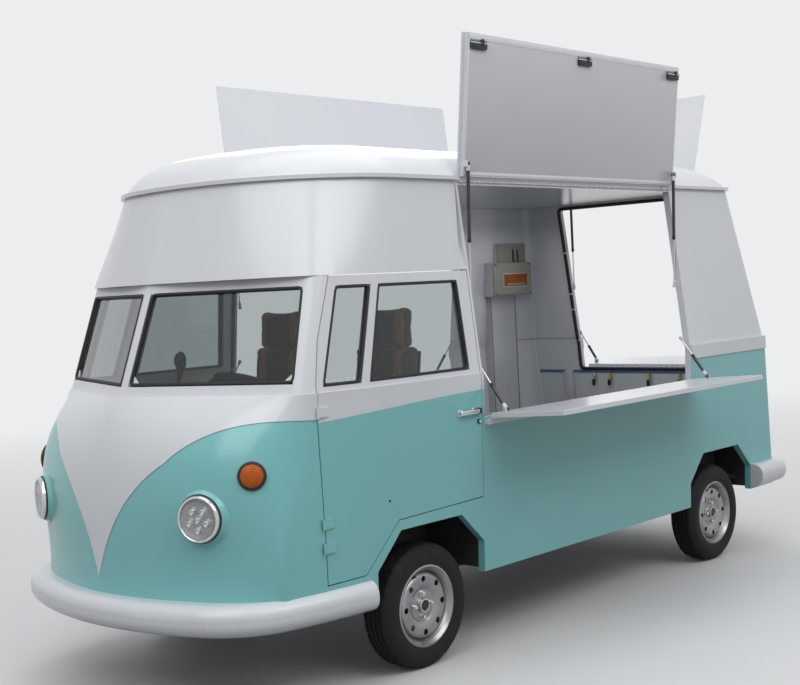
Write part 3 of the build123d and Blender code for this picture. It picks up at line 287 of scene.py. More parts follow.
FINISH = {
    "white": body_paint("pearl_white_paint"),
    "door": body_paint("door_two_tone", below_door_line),
    "kitchen": body_paint("kitchen_two_tone", below_kitchen_belt),
    "mint": body_paint("mint_green_paint", below_nose_edge),
    "roof": body_paint("roof_white"),
    "counter": body_paint("counter_white", base=COUNTER_WHITE),
    "panel": body_paint("panel_white", base=PANEL_WHITE),
    "black": plain("chassis_black", (0.022, 0.022, 0.023, 1), 0.55, dust=0.5),
    "floor": plain("floor_sheet", (0.20, 0.205, 0.21, 1), 0.5, grain=120, dust=0.3),
    "dash": plain("dash_plastic", (0.018, 0.018, 0.019, 1), 0.55, grain=380, bump=0.25, distance=0.001),
    "tyre": plain(
        "tyre_rubber", (0.010, 0.0098, 0.0096, 1), 0.72, grain=160, bump=0.2, dust=0.08, specular=0.3,
    ),
    "rim": plain("rim_silver", (0.33, 0.335, 0.34, 1), 0.30, metallic=0.9, grain=90, dust=0.15),
    "chrome": plain("lamp_chrome", (0.60, 0.60, 0.60, 1), 0.12, metallic=1.0, vary=0.04),
    "tube": plain("strut_black", (0.012, 0.012, 0.013, 1), 0.35, coat=0.4),
    "rod": plain("strut_steel", (0.62, 0.62, 0.63, 1), 0.25, metallic=1.0),
    "rubber": plain("seal_rubber", (0.010, 0.010, 0.011, 1), 0.62, grain=140, bump=0.1),
    "battery": plain("battery_case", (0.06, 0.063, 0.066, 1), 0.6, dust=0.4),
    "glass": glass("glass_clear", (0.44, 0.485, 0.485, 1)),
    "amber": plain("amber_lens", (0.46, 0.093, 0.002, 1), 0.28, coat=0.08, specular=0.25),
    "red": plain("red_lens", (0.35, 0.008, 0.008, 1), 0.12, coat=1.0),
    "lens": glass("lamp_lens_clear", (0.93, 0.93, 0.94, 1), ribs=90),
    "reflector": plain("lamp_reflector", (0.30, 0.30, 0.31, 1), 0.38, metallic=0.55, vary=0.06),
    "bead": plain("projector_bead", (0.50, 0.51, 0.52, 1), 0.10, metallic=0.7, coat=1.0, vary=0.05),
    "led": plain("projector_strip", (0.86, 0.86, 0.84, 1), 0.25, coat=1.0, vary=0.03),
    "edge": plain("hatch_edge", (0.72, 0.73, 0.745, 1), 0.32, coat=0.3, vary=0.05),
    "nylon": plain("white_nylon", (0.70, 0.70, 0.69, 1), 0.42, vary=0.06),
    "olive": plain("olive_grey_plastic", (0.300, 0.320, 0.265, 1), 0.45, grain=260, bump=0.12),
    "window": plain("orange_window", (0.34, 0.070, 0.005, 1), 0.35, specular=0.25, grain=40, vary=0.35),
    "tape": plain("blue_strip", (0.100, 0.165, 0.350, 1), 0.5, grain=200, vary=0.2),
    # Mid grey for the painted shade lines along the duct's edges
    "duct_shade_line": plain("duct_seam", (0.30, 0.305, 0.31, 1), 0.5, grain=120),
    "yellow": plain("yellow_latch", (0.60, 0.38, 0.05, 1), 0.35, coat=0.4, vary=0.15),
    "dial": plain("dial_face", (0.010, 0.010, 0.011, 1), 0.25, coat=0.8),
    "seat": seat_cloth("seat_fabric"),
}

# The finish of each CAD node, by the end of its name
LOOKS = {
    "white": ("nose_v_panel", "windscreen_frame", "cab_upper_panel", "trim_rails", "_bumper", "_hatch"),
    "mint": ("nose_panel",),
    "kitchen": ("_side_panel", "rear_panel"),
    "door": ("_door",),
    "counter": ("_counter",),
    "roof": ("roof",),
    "panel": ("ceiling", "electrical_box"),
    "glass": ("_glass",),
    "chrome": ("headlights",),
    "amber": ("turn_signals",),
    "red": ("tail_lamps",),
    "dash": ("dashboard", "steering_wheel", "_seat"),
    "black": ("seat_boxes", "chassis_frame", "wheel_houses", "_axle", "_knuckle"),
    "battery": ("battery_box",),
    "floor": ("floor",),
    "tyre": ("_tyre",),
    "rim": ("_rim",),
    "tube": ("_strut_tubes",),
    "rod": ("_strut_rods",),
}
for node_name, node in NODES.items():
    look = next(look for look, endings in LOOKS.items() if node_name.endswith(endings))
    node.data.materials.clear()
    node.data.materials.append(FINISH[look])


# Mesh helpers
def facing(point, way, up="Y"):
    """A frame at a point, with Z along the way."""
    return Matrix.Translation(point) @ Vector(way).to_track_quat("Z", up).to_matrix().to_4x4()


class Build:
    """Collects many small solids in one mesh, then makes it a piece that rides on a body."""

    def __init__(self, material):
        self.bm = bmesh.new()
        self.materials = []
        self.use(material)

    def use(self, material):
        """The following solids take this finish."""
        if FINISH[material] not in self.materials:
            self.materials.append(FINISH[material])
        self.index = self.materials.index(FINISH[material])
        return self

    def _faces(self, faces):
        for f in faces:
            f.material_index = self.index
            f.smooth = True

    def grid(self, rings, closed_path=False):
        """A skin through rings of points, capped where the path ends."""
        vs = [[self.bm.verts.new(p) for p in ring] for ring in rings]
        made = []
        n = len(vs[0])
        for i in range(len(vs) if closed_path else len(vs) - 1):
            a, b = vs[i], vs[(i + 1) % len(vs)]
            for j in range(n):
                k = (j + 1) % n
                made.append(self.bm.faces.new((a[j], a[k], b[k], b[j])))
        if not closed_path:
            made.append(self.bm.faces.new(vs[0][::-1]))
            made.append(self.bm.faces.new(vs[-1]))
        self._faces(made)
        return self

    def box(self, centre, size, bevel=0.0, frame=None, segments=2):
        """A box with rounded edges; frame turns it and moves it."""
        m = Matrix.Translation(centre) @ Matrix.Diagonal((*size, 1))
        if frame is not None:
            m = frame @ m
        old = set(self.bm.faces)
        made = bmesh.ops.create_cube(self.bm, size=1.0, matrix=m)
        if bevel:
            edges = list({e for v in made["verts"] for e in v.link_edges})
            bmesh.ops.bevel(
                self.bm, geom=edges, offset=bevel, segments=segments, profile=0.5, affect="EDGES",
                clamp_overlap=True,
            )
        self._faces([f for f in self.bm.faces if f not in old])
        return self

    def lathe(self, profile, frame, segments=48, closed=False):
        """Turns a profile of (radius, height) about the frame's Z; a closed one makes a ring."""
        rings = []
        for r, h in profile:
            r = max(r, 1e-5)
            angles = [2 * math.pi * i / segments for i in range(segments)]
            rings.append([frame @ Vector((r * math.cos(a), r * math.sin(a), h)) for a in angles])
        return self.grid(rings, closed_path=closed)

    def rod(self, start, end, radius, segments=16):
        """A round bar with its ends chamfered."""
        way = Vector(end) - Vector(start)
        b = min(radius * 0.15, 0.001)
        profile = [(radius - b, 0), (radius, b), (radius, way.length - b), (radius - b, way.length)]
        return self.lathe(profile, facing(start, way), segments)

    def ball(self, centre, radius, segments=16):
        steps = segments // 2
        angles = [math.pi * i / steps for i in range(steps + 1)]
        profile = [(radius * math.sin(a), -radius * math.cos(a)) for a in angles]
        return self.lathe(profile, Matrix.Translation(centre), segments)

    def sweep(self, path, normals, section, closed=True):
        """Sweeps a section of (across, out) points along a path; out follows the normals."""
        rings = []
        n = len(path)
        for i, p in enumerate(path):
            before = path[i - 1] if closed or i else path[0]
            after = path[(i + 1) % n] if closed or i < n - 1 else path[-1]
            along = (Vector(after) - Vector(before)).normalized()
            out = (normals[i] - along * normals[i].dot(along)).normalized()
            across = along.cross(out)
            rings.append([Vector(p) + across * a + out * b for a, b in section])
        return self.grid(rings, closed_path=closed)

    def tube(self, points, radius, segments=12):
        """A round tube through points, of one radius or of one for each point."""
        points = [Vector(p) for p in points]
        rings = []
        side = None
        for i, p in enumerate(points):
            along = (points[min(i + 1, len(points) - 1)] - points[max(i - 1, 0)]).normalized()
            if side is None:
                side = along.orthogonal().normalized()
            side = (side - along * side.dot(along)).normalized()
            other = along.cross(side)
            r = radius[i] if isinstance(radius, (list, tuple)) else radius
            angles = [2 * math.pi * k / segments for k in range(segments)]
            rings.append([p + (side * math.cos(a) + other * math.sin(a)) * r for a in angles])
        return self.grid(rings)

    def done(self, name, slot, body="vehicle", replaces=None, sharp=0.6):
        """Makes the piece, with edges sharper than the angle kept crisp."""
        bmesh.ops.recalc_face_normals(self.bm, faces=self.bm.faces[:])
        for e in self.bm.edges:
            if len(e.link_faces) == 2 and e.calc_face_angle(0) > sharp:
                e.smooth = False
        mesh = bpy.data.meshes.new(name)
        self.bm.to_mesh(mesh)
        self.bm.free()
        for m in self.materials:
            mesh.materials.append(m)
        obj = bpy.data.objects.new(name, mesh)
        bpy.context.scene.collection.objects.link(obj)
        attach(obj, body)
        if replaces:
            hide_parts(replaces)


TREES = {}


def hit(node, start, way):
    """The first point of a CAD node from start along way, with its outward normal."""
    if node not in TREES:
        TREES[node] = BVHTree.FromObject(NODES[node], bpy.context.evaluated_depsgraph_get())
    way = Vector(way).normalized()
    place, normal, _, _ = TREES[node].ray_cast(Vector(start), way)
    if place is None:
        raise ValueError(f"no surface of {node} from {tuple(start)}")
    return place, normal if normal.dot(way) < 0 else -normal


def rounded(points, radius, steps=5):
    """A closed polygon's outline with round corners, as plain 2-D points."""
    out = []
    for i, p in enumerate(points):
        p = Vector(p)
        a, b = Vector(points[i - 1]) - p, Vector(points[(i + 1) % len(points)]) - p
        r = min(radius, a.length * 0.45, b.length * 0.45)
        a, b = p + a.normalized() * r, p + b.normalized() * r
        for k in range(steps + 1):
            t = k / steps
            out.append(a * (1 - t) ** 2 + p * 2 * t * (1 - t) + b * t * t)
    return out


def spaced(points, step, closed=True):
    """The same outline with more points on its long runs."""
    out = []
    n = len(points)
    for i in range(n if closed else n - 1):
        a, b = points[i], points[(i + 1) % n]
        count = max(1, int(round((b - a).length / step)))
        out += [a.lerp(b, k / count) for k in range(count)]
    if not closed:
        out.append(points[-1])
    return out


def pulled_in(points, distance):
    """A closed 2-D outline moved towards its inside."""
    area = sum(a[0] * b[1] - b[0] * a[1] for a, b in zip(points, points[1:] + points[:1]))
    sign = 1 if area > 0 else -1
    out = []
    n = len(points)
    for i in range(n):
        a, p, b = Vector(points[i - 1]), Vector(points[i]), Vector(points[(i + 1) % n])
        u, v = (p - a).normalized(), (b - p).normalized()
        nu, nv = Vector((-u[1], u[0])) * sign, Vector((-v[1], v[0])) * sign
        m = (nu + nv) / max(1e-6, 1 + nu.dot(nv))
        out.append(p + m * distance)
    return out


def at(x, y, z):
    """A point from the front axle's X, the centreline and the ground."""
    return Vector((AXLE + x, y, z))


def mm(*profile):
    """A profile of (radius, height) written in millimetres."""
    return [(r / 1000, h / 1000) for r, h in profile]


# Rubber seals round the glass
PANE_Y_Z = [(0.025, 1.388), (0.816, 1.388), (0.773, 1.797), (0.025, 1.797)]
QUARTER_X_Z = [(0.484, 1.795), (0.289, 1.795), (0.420, 1.368), (0.624, 1.368)]
MAIN_X_Z = [(0.246, 1.795), (-0.292, 1.795), (-0.300, 1.368), (0.372, 1.368)]
SEAL_INSET, SEAL_CORNER, SEAL_STEP = 0.006, 0.02, 0.04


def moulding(half, crown, foot, shoulder, top):
    """A seal's section: upright sides from its foot, then slopes to a narrower crown."""
    right_half = [(crown, top), (half, shoulder), (half, -foot)]
    return [(-a, b) for a, b in right_half[::-1]] + right_half


SEAL_SECTION = moulding(0.007, 0.004, 0.002, 0.012, 0.0165)


def pane_seal(name, body, glass_node, outline, place, way):
    """A rubber moulding round one pane, on its outer face."""
    path, normals = [], []
    for a, b in spaced(rounded(pulled_in(outline, SEAL_INSET), SEAL_CORNER), SEAL_STEP):
        point, normal = hit(glass_node, place(a, b), way)
        path.append(point)
        normals.append(normal)
    Build("rubber").sweep(path, normals, SEAL_SECTION).done(name, "dash_plastic", body)


for side_name, side in SIDES:
    pane_seal(
        f"{side_name}_windscreen_seal", "vehicle", "windscreen_glass",
        [(side * y, z) for y, z in PANE_Y_Z], lambda y, z: at(AHEAD_X, y, z), (-1, 0, 0),
    )
    for window, outline in (("quarter", QUARTER_X_Z), ("main", MAIN_X_Z)):
        pane_seal(
            f"{side_name}_{window}_window_seal", f"{side_name}_cab_door", f"{side_name}_door_glass",
            outline, lambda x, z: at(x, side * BESIDE_Y, z), (0, -side, 0),
        )

# White corner clips at the foot of each windscreen pane
CLIP, CLIP_Z = 0.034, 1.399


def on_windscreen(y, z):
    """A point on the windscreen's outer face, with its normal."""
    return hit("windscreen_glass", at(AHEAD_X, y, z), (-1, 0, 0))


for side_name, side in SIDES:
    clips = Build("nylon")
    for y, way in ((0.036, 1), (0.800, -1)):
        corner, out = on_windscreen(side * y, CLIP_Z)
        along = on_windscreen(side * (y + way * CLIP), CLIP_Z)[0]
        above = on_windscreen(side * y, CLIP_Z + CLIP)[0]
        clips.grid([[p + out * lift for p in (corner, along, above)] for lift in (0.0005, 0.005)])
    clips.done(f"{side_name}_windscreen_clips", "white_panel")

# Rubber flange behind each door's gap, from the wheel arch round the door and back to it
DOOR_X_Z = [
    (0.227, 0.738), (-0.372, 0.752), (-0.372, 1.838), (0.509, 1.838), (0.612, 1.568),
    (0.655, 1.374), (0.660, 1.250), (0.654, 0.810), (0.646, 0.523), (0.435, 0.528),
]
FLANGE_DEPTH, FLANGE_INSET, FLANGE_STEP = 0.044, 0.004, 0.05
FLANGE_SECTION = [(-0.002, -0.003), (-0.002, 0.003), (0.016, 0.003), (0.016, -0.003)]
for side_name, side in SIDES:
    path, normals = [], []
    inset = [Vector(p) for p in pulled_in(DOOR_X_Z, FLANGE_INSET)]
    for x, z in spaced(inset, FLANGE_STEP, closed=False):
        point, normal = hit(f"{side_name}_door", at(x, side * BESIDE_Y, z), (0, -side, 0))
        path.append(point - normal * FLANGE_DEPTH)
        normals.append(normal)
    section = [(-side * a, b) for a, b in FLANGE_SECTION]
    flange = Build("rubber").sweep(path, normals, section, closed=False)
    flange.done(f"{side_name}_door_gap_flange", "dash_plastic")

# Door handles with their lock, and a drain dot low on each door
HANDLE_X, HANDLE_Y, HANDLE_Z = -0.262, 0.950, 1.168
LOCK_X, LOCK_Z = HANDLE_X - 0.086, HANDLE_Z - 0.052
DRAIN_X, DRAIN_Z = 0.282, 0.83
for side_name, side in SIDES:
    door, body = f"{side_name}_door", f"{side_name}_cab_door"
    handle = Build("chrome")
    handle.box(at(HANDLE_X, side * HANDLE_Y, HANDLE_Z), (0.136, 0.017, 0.025), 0.008, segments=5)
    for x in (HANDLE_X - 0.050, HANDLE_X + 0.050):
        handle.box(at(x, side * (HANDLE_Y - 0.0125), HANDLE_Z), (0.022, 0.016, 0.0215), 0.004, segments=3)
        handle.box(at(x, side * (HANDLE_Y - 0.0165), HANDLE_Z), (0.034, 0.007, 0.032), 0.003, segments=3)
    handle.use("rubber")
    button = at(HANDLE_X - 0.075, side * (HANDLE_Y - 0.006), HANDLE_Z)
    handle.box(button, (0.030, 0.022, 0.030), 0.008, segments=4)
    lock, way = hit(door, at(LOCK_X, side * BESIDE_Y, LOCK_Z), (0, -side, 0))
    handle.rod(lock - way * 0.003, lock + way * 0.008, 0.012)
    handle.use("chrome").rod(lock + way * 0.007, lock + way * 0.0105, 0.008)
    handle.done(f"{door}_handle", "lamp_chrome", body)
    drain, way = hit(door, at(DRAIN_X, side * BESIDE_Y, DRAIN_Z), (0, -side, 0))
    dot = Build("rubber").rod(drain - way * 0.003, drain + way * 0.002, 0.006)
    dot.done(f"{door}_drain", "dash_plastic", body)


# Lamps: their places on the left side, and for the front ones the turn and rise in degrees
HEADLIGHT = (1.071, 0.588, 0.856, 20.6, 1)
SIGNAL = (0.943, 0.770, 1.026, 48, 9)
TAIL_LAMP = (-3.3665, 0.740, 0.800)
PROJECTORS = [(0.0, 0.0)] + [(0.043, math.radians(-90 + 72 * k)) for k in range(5)]

# Lamp profiles, as radius and height over the lamp's seat
HOOD_RING = mm((132, -17), (124, -8), (116, 1), (109, 10), (104, 17), (100, 17), (100, -17))
LAMP_GASKET = mm((98, 2), (104.5, 12), (104.5, 20), (100, 24), (96, 20))
LAMP_RING = mm(
    (98, 16), (100, 22), (99.5, 30), (97, 37), (93, 41), (89, 41.6), (86, 39.5), (84.5, 36), (84, 16),
)
LAMP_BOWL = mm((0, 18), (86, 18), (85, 33), (78, 29), (60, 26), (30, 25), (0, 25))
PROJECTOR_RING = mm((18.5, 0), (18.5, 5), (17, 6.5), (14.5, 5), (13.5, 1.5), (0, 1))
PROJECTOR_BEAD = mm((13, 1), (12, 5), (9, 8), (4.5, 10), (0, 10.6))
LAMP_LENS = mm((0, 38), (60, 37.6), (85, 36), (85, 37.5), (80, 39.5), (60, 41.4), (30, 42.6), (0, 43))
SIGNAL_RING = mm((61, -10), (61, 4), (59, 10), (55, 14), (51, 15), (49, 12), (48, -10))
TAIL_GASKET = mm((55, -16), (55, 4), (52, 8), (48, 8), (44, -16))
TAIL_RING = mm((51, 5), (51, 11), (48, 14), (45.5, 12), (45, 5))


def lamp_frame(side, x, y, z, yaw, pitch):
    """A frame at a front lamp's seat, with Z along its axis."""
    yaw, pitch = math.radians(side * yaw), math.radians(pitch)
    out = Vector((math.cos(yaw) * math.cos(pitch), math.sin(yaw) * math.cos(pitch), math.sin(pitch)))
    across = Vector((-math.sin(yaw), math.cos(yaw), 0))
    turn = Matrix((across, out.cross(across), out)).transposed()
    return Matrix.Translation(at(x, side * y, z)) @ turn.to_4x4()


def ribbed_dome(radius, low, rise, ribs, depth=0.0007):
    """A lens profile with concentric ribs, from its foot to the axis."""
    steps = ribs * 4
    out = [(radius, low)]
    for i in range(steps + 1):
        a = math.pi / 2 * i / steps
        wave = depth * math.sin(2 * math.pi * ribs * i / steps)
        out.append(((radius + wave) * math.cos(a), low + (rise + wave) * math.sin(a)))
    return out


def headlight(side_name, side):
    """A round lamp in a painted hood, with six projectors in its bowl and a ribbed lens."""
    seat = lamp_frame(side, *HEADLIGHT)
    lamp = Build("mint").lathe(HOOD_RING, seat, 72, True)
    lamp.use("rubber").lathe(LAMP_GASKET, seat, 72, True)
    lamp.use("chrome").lathe(LAMP_RING, seat, 72, True)
    lamp.use("reflector").lathe(LAMP_BOWL, seat, 72)
    for reach, turn in PROJECTORS:
        foot = seat @ Matrix.Translation((reach * math.cos(turn), reach * math.sin(turn), 0.024))
        lamp.use("chrome").lathe(PROJECTOR_RING, foot, 28)
        lamp.use("bead").lathe(PROJECTOR_BEAD, foot, 24)
        for bar in (-0.006, 0.004):
            lamp.use("led").box((0, bar, 0.0098), (0.015, 0.004, 0.002), 0.0008, foot)
    lamp.done(f"{side_name}_headlight_body", "lamp_chrome", replaces="headlights")
    Build("lens").lathe(LAMP_LENS, seat, 72).done(f"{side_name}_headlight_lens", "glass_clear")


def turn_signal(side_name, side):
    seat = lamp_frame(side, *SIGNAL)
    lamp = Build("rubber").lathe(SIGNAL_RING, seat, 56, True)
    lamp.use("amber").lathe(ribbed_dome(0.050, 0.010, 0.018, 6), seat, 56)
    lamp.done(f"{side_name}_turn_signal_lamp", "amber_lens", replaces="turn_signals")


def tail_lamp(side_name, side):
    x, y, z = TAIL_LAMP
    seat = facing(at(x, side * y, z), (-1, 0, 0))
    lamp = Build("rubber").lathe(TAIL_GASKET, seat, 56, True)
    lamp.use("chrome").lathe(TAIL_RING, seat, 56, True)
    lamp.use("red").lathe(ribbed_dome(0.0455, 0.008, 0.013, 5), seat, 56)
    lamp.done(f"{side_name}_tail_lamp_dome", "red_lens", replaces="tail_lamps")


for side_name, side in SIDES:
    headlight(side_name, side)
    turn_signal(side_name, side)
    tail_lamp(side_name, side)


# Tyres with grooved tread: half the outline in millimetres, radius and distance from the middle
TYRE_OUTLINE = [
    (176, -66), (190, -70), (190, -74), (196, -78), (204, -78.5), (207, -80.5), (222, -82), (238, -82.4),
    (252, -80.5), (255, -78), (264, -76), (274, -69), (281, -63.5), (287, -58),
    (289.4, -52), (289.8, -44.6), (284.5, -43.8), (284.5, -38.4), (290, -37.6),
    (290.7, -17.6), (284.5, -16.8), (284.5, -10.4), (290.9, -9.6),
]
TREAD_SEGMENTS, TREAD_PITCH = 150, 5
TREAD_FROM, TREAD_TOP = 274, 286
RIB_HALF, SHOULDER_FROM = 16, 30
CUT_DEPTH, SHALLOW_CUT = 5.0, 2.5

# Nuts, hub ring, cap and valve on each rim
NUT_REACH, NUT_SEAT = 0.056, 0.0435
NUT = mm((13, 0), (13, 2), (10.5, 2.6), (10.5, 14), (8, 17), (0, 17.6))
HUB_RING = mm((33, 40), (33, 58), (31.5, 62), (29, 63.2), (27, 62.5), (26, 60), (26, 44))
HUB_CAP = mm((26, 44), (26, 59), (24, 60.6), (16, 61), (0, 61))
VALVE_TURN, VALVE_ENDS = 0.4, ((0.150, 0, 0.040), (0.158, 0, 0.068))


def wheel_frame(wheel):
    """A frame at a wheel's centre with Z out of the vehicle."""
    x = 0 if wheel.startswith("front") else -WHEELBASE
    side = 1 if wheel.endswith("left") else -1
    return facing(at(x, side * WHEEL_Y, WHEEL_Z), (0, side, 0), "X")


def treaded_tyre(wheel, hub):
    """A tyre whose ribs are cut across, in steps that slant away from its middle."""
    outline = TYRE_OUTLINE + [(r, -h) for r, h in TYRE_OUTLINE[::-1]]
    rings = []
    for i in range(TREAD_SEGMENTS):
        a = 2 * math.pi * i / TREAD_SEGMENTS
        ring = []
        for r, h in outline:
            slant = i + (1 if abs(h) < SHOULDER_FROM else 0) * (2 if h > 0 else -2)
            if slant % TREAD_PITCH == 0 and r > TREAD_FROM and abs(h) > RIB_HALF:
                r -= CUT_DEPTH if r > TREAD_TOP else SHALLOW_CUT
            ring.append(hub @ (Vector((r * math.cos(a), r * math.sin(a), h)) / 1000))
        rings.append(ring)
    tyre = Build("tyre").grid(rings, closed_path=True)
    tyre.done(f"{wheel}_treaded_tyre", "tyre_rubber", f"{wheel}_wheel", f"{wheel}_tyre", sharp=0.5)


def nuts_and_cap(wheel, hub):
    nuts = Build("rod")
    for k in range(4):
        a = math.pi / 2 * k
        foot = hub @ Matrix.Translation((NUT_REACH * math.cos(a), NUT_REACH * math.sin(a), NUT_SEAT))
        nuts.lathe(NUT, foot, 6)
    nuts.lathe(HUB_RING, hub, 40, True)
    nuts.use("dash").lathe(HUB_CAP, hub, 40)
    valve = hub @ Matrix.Rotation(VALVE_TURN, 4, "Z")
    nuts.use("rubber").rod(*(valve @ Vector(end) for end in VALVE_ENDS), 0.0045)
    nuts.done(f"{wheel}_nuts_and_cap", "rim_silver", f"{wheel}_wheel")


for wheel in ("front_left", "front_right", "rear_left", "rear_right"):
    treaded_tyre(wheel, wheel_frame(wheel))
    nuts_and_cap(wheel, wheel_frame(wheel))


# Serving hatches and counters: frames with x out of the wall, y along it and z up
HATCH_HINGE_Z, COUNTER_HINGE_Z = 2.268, 1.128
HATCH_EYE_Z, COUNTER_EYE_Z = 1.700, 1.390
SKIN_Z = 2.292
COUNTER_TILT = 3.3


class Serving:
    """One serving opening with the frames of its open hatch and open counter."""

    def __init__(self, name, turn, wall_high, wall_slope, wall_sill, half, middle, lean, length):
        self.name, self.half, self.length, self.middle = name, half, length, middle
        self.wall_high, self.wall_slope = wall_high, wall_slope
        self.turn = Matrix.Rotation(math.radians(turn), 4, "Z")
        lean, tilt = math.radians(lean), math.radians(COUNTER_TILT)
        along = Vector((math.sin(lean), 0, math.cos(lean)))
        out = Vector((-math.cos(lean), 0, math.sin(lean)))
        self.hatch = self.placed(along, out, self.skin(HATCH_HINGE_Z) + 0.008, HATCH_HINGE_Z)
        board = Vector((math.cos(tilt), 0, math.sin(tilt)))
        up = Vector((-math.sin(tilt), 0, math.cos(tilt)))
        self.counter = self.placed(board, up, wall_sill + 0.032, COUNTER_HINGE_Z)

    def skin(self, z):
        """The wall skin's distance from the vehicle's middle at a height."""
        return self.wall_high + self.wall_slope * (SKIN_Z - z)

    def placed(self, first, third, out, z):
        """A frame with the given x and z axes, out from the vehicle's middle and at a height."""
        turn = Matrix((first, Vector((0, 1, 0)), third)).transposed().to_4x4()
        return self.turn @ Matrix.Translation((out, self.middle, z)) @ turn

    def strut_ends(self, kind):
        """Panel end and wall end of both struts."""
        if kind == "hatch":
            panel = self.hatch @ Vector((0.085, 0, -0.036))
            foot = (self.skin(HATCH_EYE_Z) - 0.033, self.middle, HATCH_EYE_Z)
        else:
            panel = self.counter @ Vector((0.088, 0, 0.035))
            foot = (self.skin(COUNTER_EYE_Z) - 0.040, self.middle, COUNTER_EYE_Z)
        foot = self.turn @ Vector(foot)
        along = self.turn.to_3x3() @ Vector((0, 1, 0))
        reach = self.half - 0.025
        return [(panel + along * s * reach, foot + along * s * reach) for s in (-1, 1)]


OPENING_MIDDLE = 1.359 - AXLE
SIDE_SILL = 0.905 + 0.033 / 0.961 * 0.746
SIDE_OPENING = (0.825, 0.11088, SIDE_SILL, 0.966)
REAR_OPENING = (3.100 - AXLE, 0.1795, 3.302 - AXLE, 0.495)
SERVINGS = [
    Serving("left", 90, *SIDE_OPENING, OPENING_MIDDLE, 6.2, 0.703),
    Serving("right", -90, *SIDE_OPENING, -OPENING_MIDDLE, 6.2, 0.703),
    Serving("rear", 180, *REAR_OPENING, 0, 19.4, 0.712),
]
LATCHES = {"left": (-0.885, 0.0, 0.885), "right": (-0.885, 0.0, 0.885), "rear": (-0.415, 0.415)}
HATCH_BACK = -0.023
TOP_LIP, FOOT_STRIP, SIDE_STRIP = 0.028, 0.016, 0.008
LINING_START, LINING_STOP = 0.030, 0.004
COUNTER_DEPTH, FOLD = 0.4307, 0.0236
SCREW = mm((4.2, 0), (4, 1.2), (2.4, 1.9), (0, 2))
SCREW_PITCH, KNUCKLE_PITCH, KNUCKLE = 0.12, 0.044, 0.021
TUBE_LENGTHS = {"hatch": 375, "counter": 150}
SOCKETS = {"hatch": 34, "counter": 22}
COLLAR = mm((4, 7.4), (9, 7.6), (9.9, 11), (10, 31), (9.3, 34), (8.9, 33), (8.9, 8.6), (4, 8.6))


def hatch_lining(serving):
    """A flat grey sheet on the hatch's inner face, with a raised strip along each edge."""
    frame = serving.hatch
    stop, reach = serving.length - LINING_STOP, serving.half - 0.012
    middle, span = (LINING_START + stop) / 2, stop - LINING_START
    sheet = (span - 0.006, 2 * reach - 0.012, 0.0022)
    lining = Build("panel").box((middle, 0, HATCH_BACK - 0.0002), sheet, 0.0008, frame)
    lining.use("edge")
    for s, wide in ((LINING_START + FOOT_STRIP / 2, FOOT_STRIP), (stop - TOP_LIP / 2, TOP_LIP)):
        lining.box((s, 0, HATCH_BACK - 0.0008), (wide, 2 * reach, 0.003), 0.001, frame)
    for y in (-reach + SIDE_STRIP / 2, reach - SIDE_STRIP / 2):
        lining.box((middle, y, HATCH_BACK - 0.0007), (span, SIDE_STRIP, 0.0028), 0.001, frame)
    lining.done(f"{serving.name}_hatch_lining", "white_panel", f"{serving.name}_hatch")


def hatch_latches(serving):
    """Sliding bolt latches near the hatch's free edge."""
    frame, tip = serving.hatch, serving.length
    latches = Build("dash")
    for y in LATCHES[serving.name]:
        latches.use("dash")
        latches.box((tip - 0.056, y, HATCH_BACK - 0.009), (0.036, 0.118, 0.014), 0.004, frame)
        latches.use("reflector")
        latches.box((tip - 0.033, y, HATCH_BACK - 0.007), (0.010, 0.112, 0.010), 0.002, frame)
        bolt = [frame @ Vector((tip - 0.045, y + reach, HATCH_BACK - 0.0145)) for reach in (-0.064, 0.064)]
        latches.use("rod").rod(*bolt, 0.0035)
        latches.use("dash")
        latches.box((tip - 0.040, y + 0.020, HATCH_BACK - 0.0165), (0.030, 0.022, 0.006), 0.002, frame)
    latches.done(f"{serving.name}_hatch_latches", "lamp_chrome", f"{serving.name}_hatch")


def counter_edge(serving):
    """The counter's folded metal edge and the screws of its hinge leaf."""
    frame, reach = serving.counter, serving.half - 0.007
    edge = Build("edge")
    edge.box((COUNTER_DEPTH - 0.006, 0, 0.011), (0.0118, 2 * reach - 0.002, FOLD), 0.004, frame)
    for y in (-reach + 0.004, reach - 0.004):
        edge.box((COUNTER_DEPTH / 2, y, 0.011), (COUNTER_DEPTH - 0.012, 0.0076, FOLD), 0.003, frame)
    edge.use("chrome")
    count = int(2 * reach / SCREW_PITCH)
    for k in range(count):
        y = -reach + SCREW_PITCH / 2 + k * (2 * reach - SCREW_PITCH) / (count - 1)
        edge.lathe(SCREW, frame @ Matrix.Translation((0.020, y, 0.022)), 12)
    edge.done(f"{serving.name}_counter_edge", "white_panel", f"{serving.name}_counter")


def hinge_knuckles(serving, kind, frame, gap):
    knuckles = Build("rod")
    for k in range(int((2 * serving.half - 2 * gap) / KNUCKLE_PITCH)):
        y = -serving.half + gap + 0.008 + k * KNUCKLE_PITCH
        knuckles.rod(frame @ Vector((0, y, 0)), frame @ Vector((0, y + KNUCKLE, 0)), 0.0054, segments=12)
    knuckles.done(f"{serving.name}_{kind}_hinge_knuckles", "strut_steel", f"{serving.name}_{kind}")


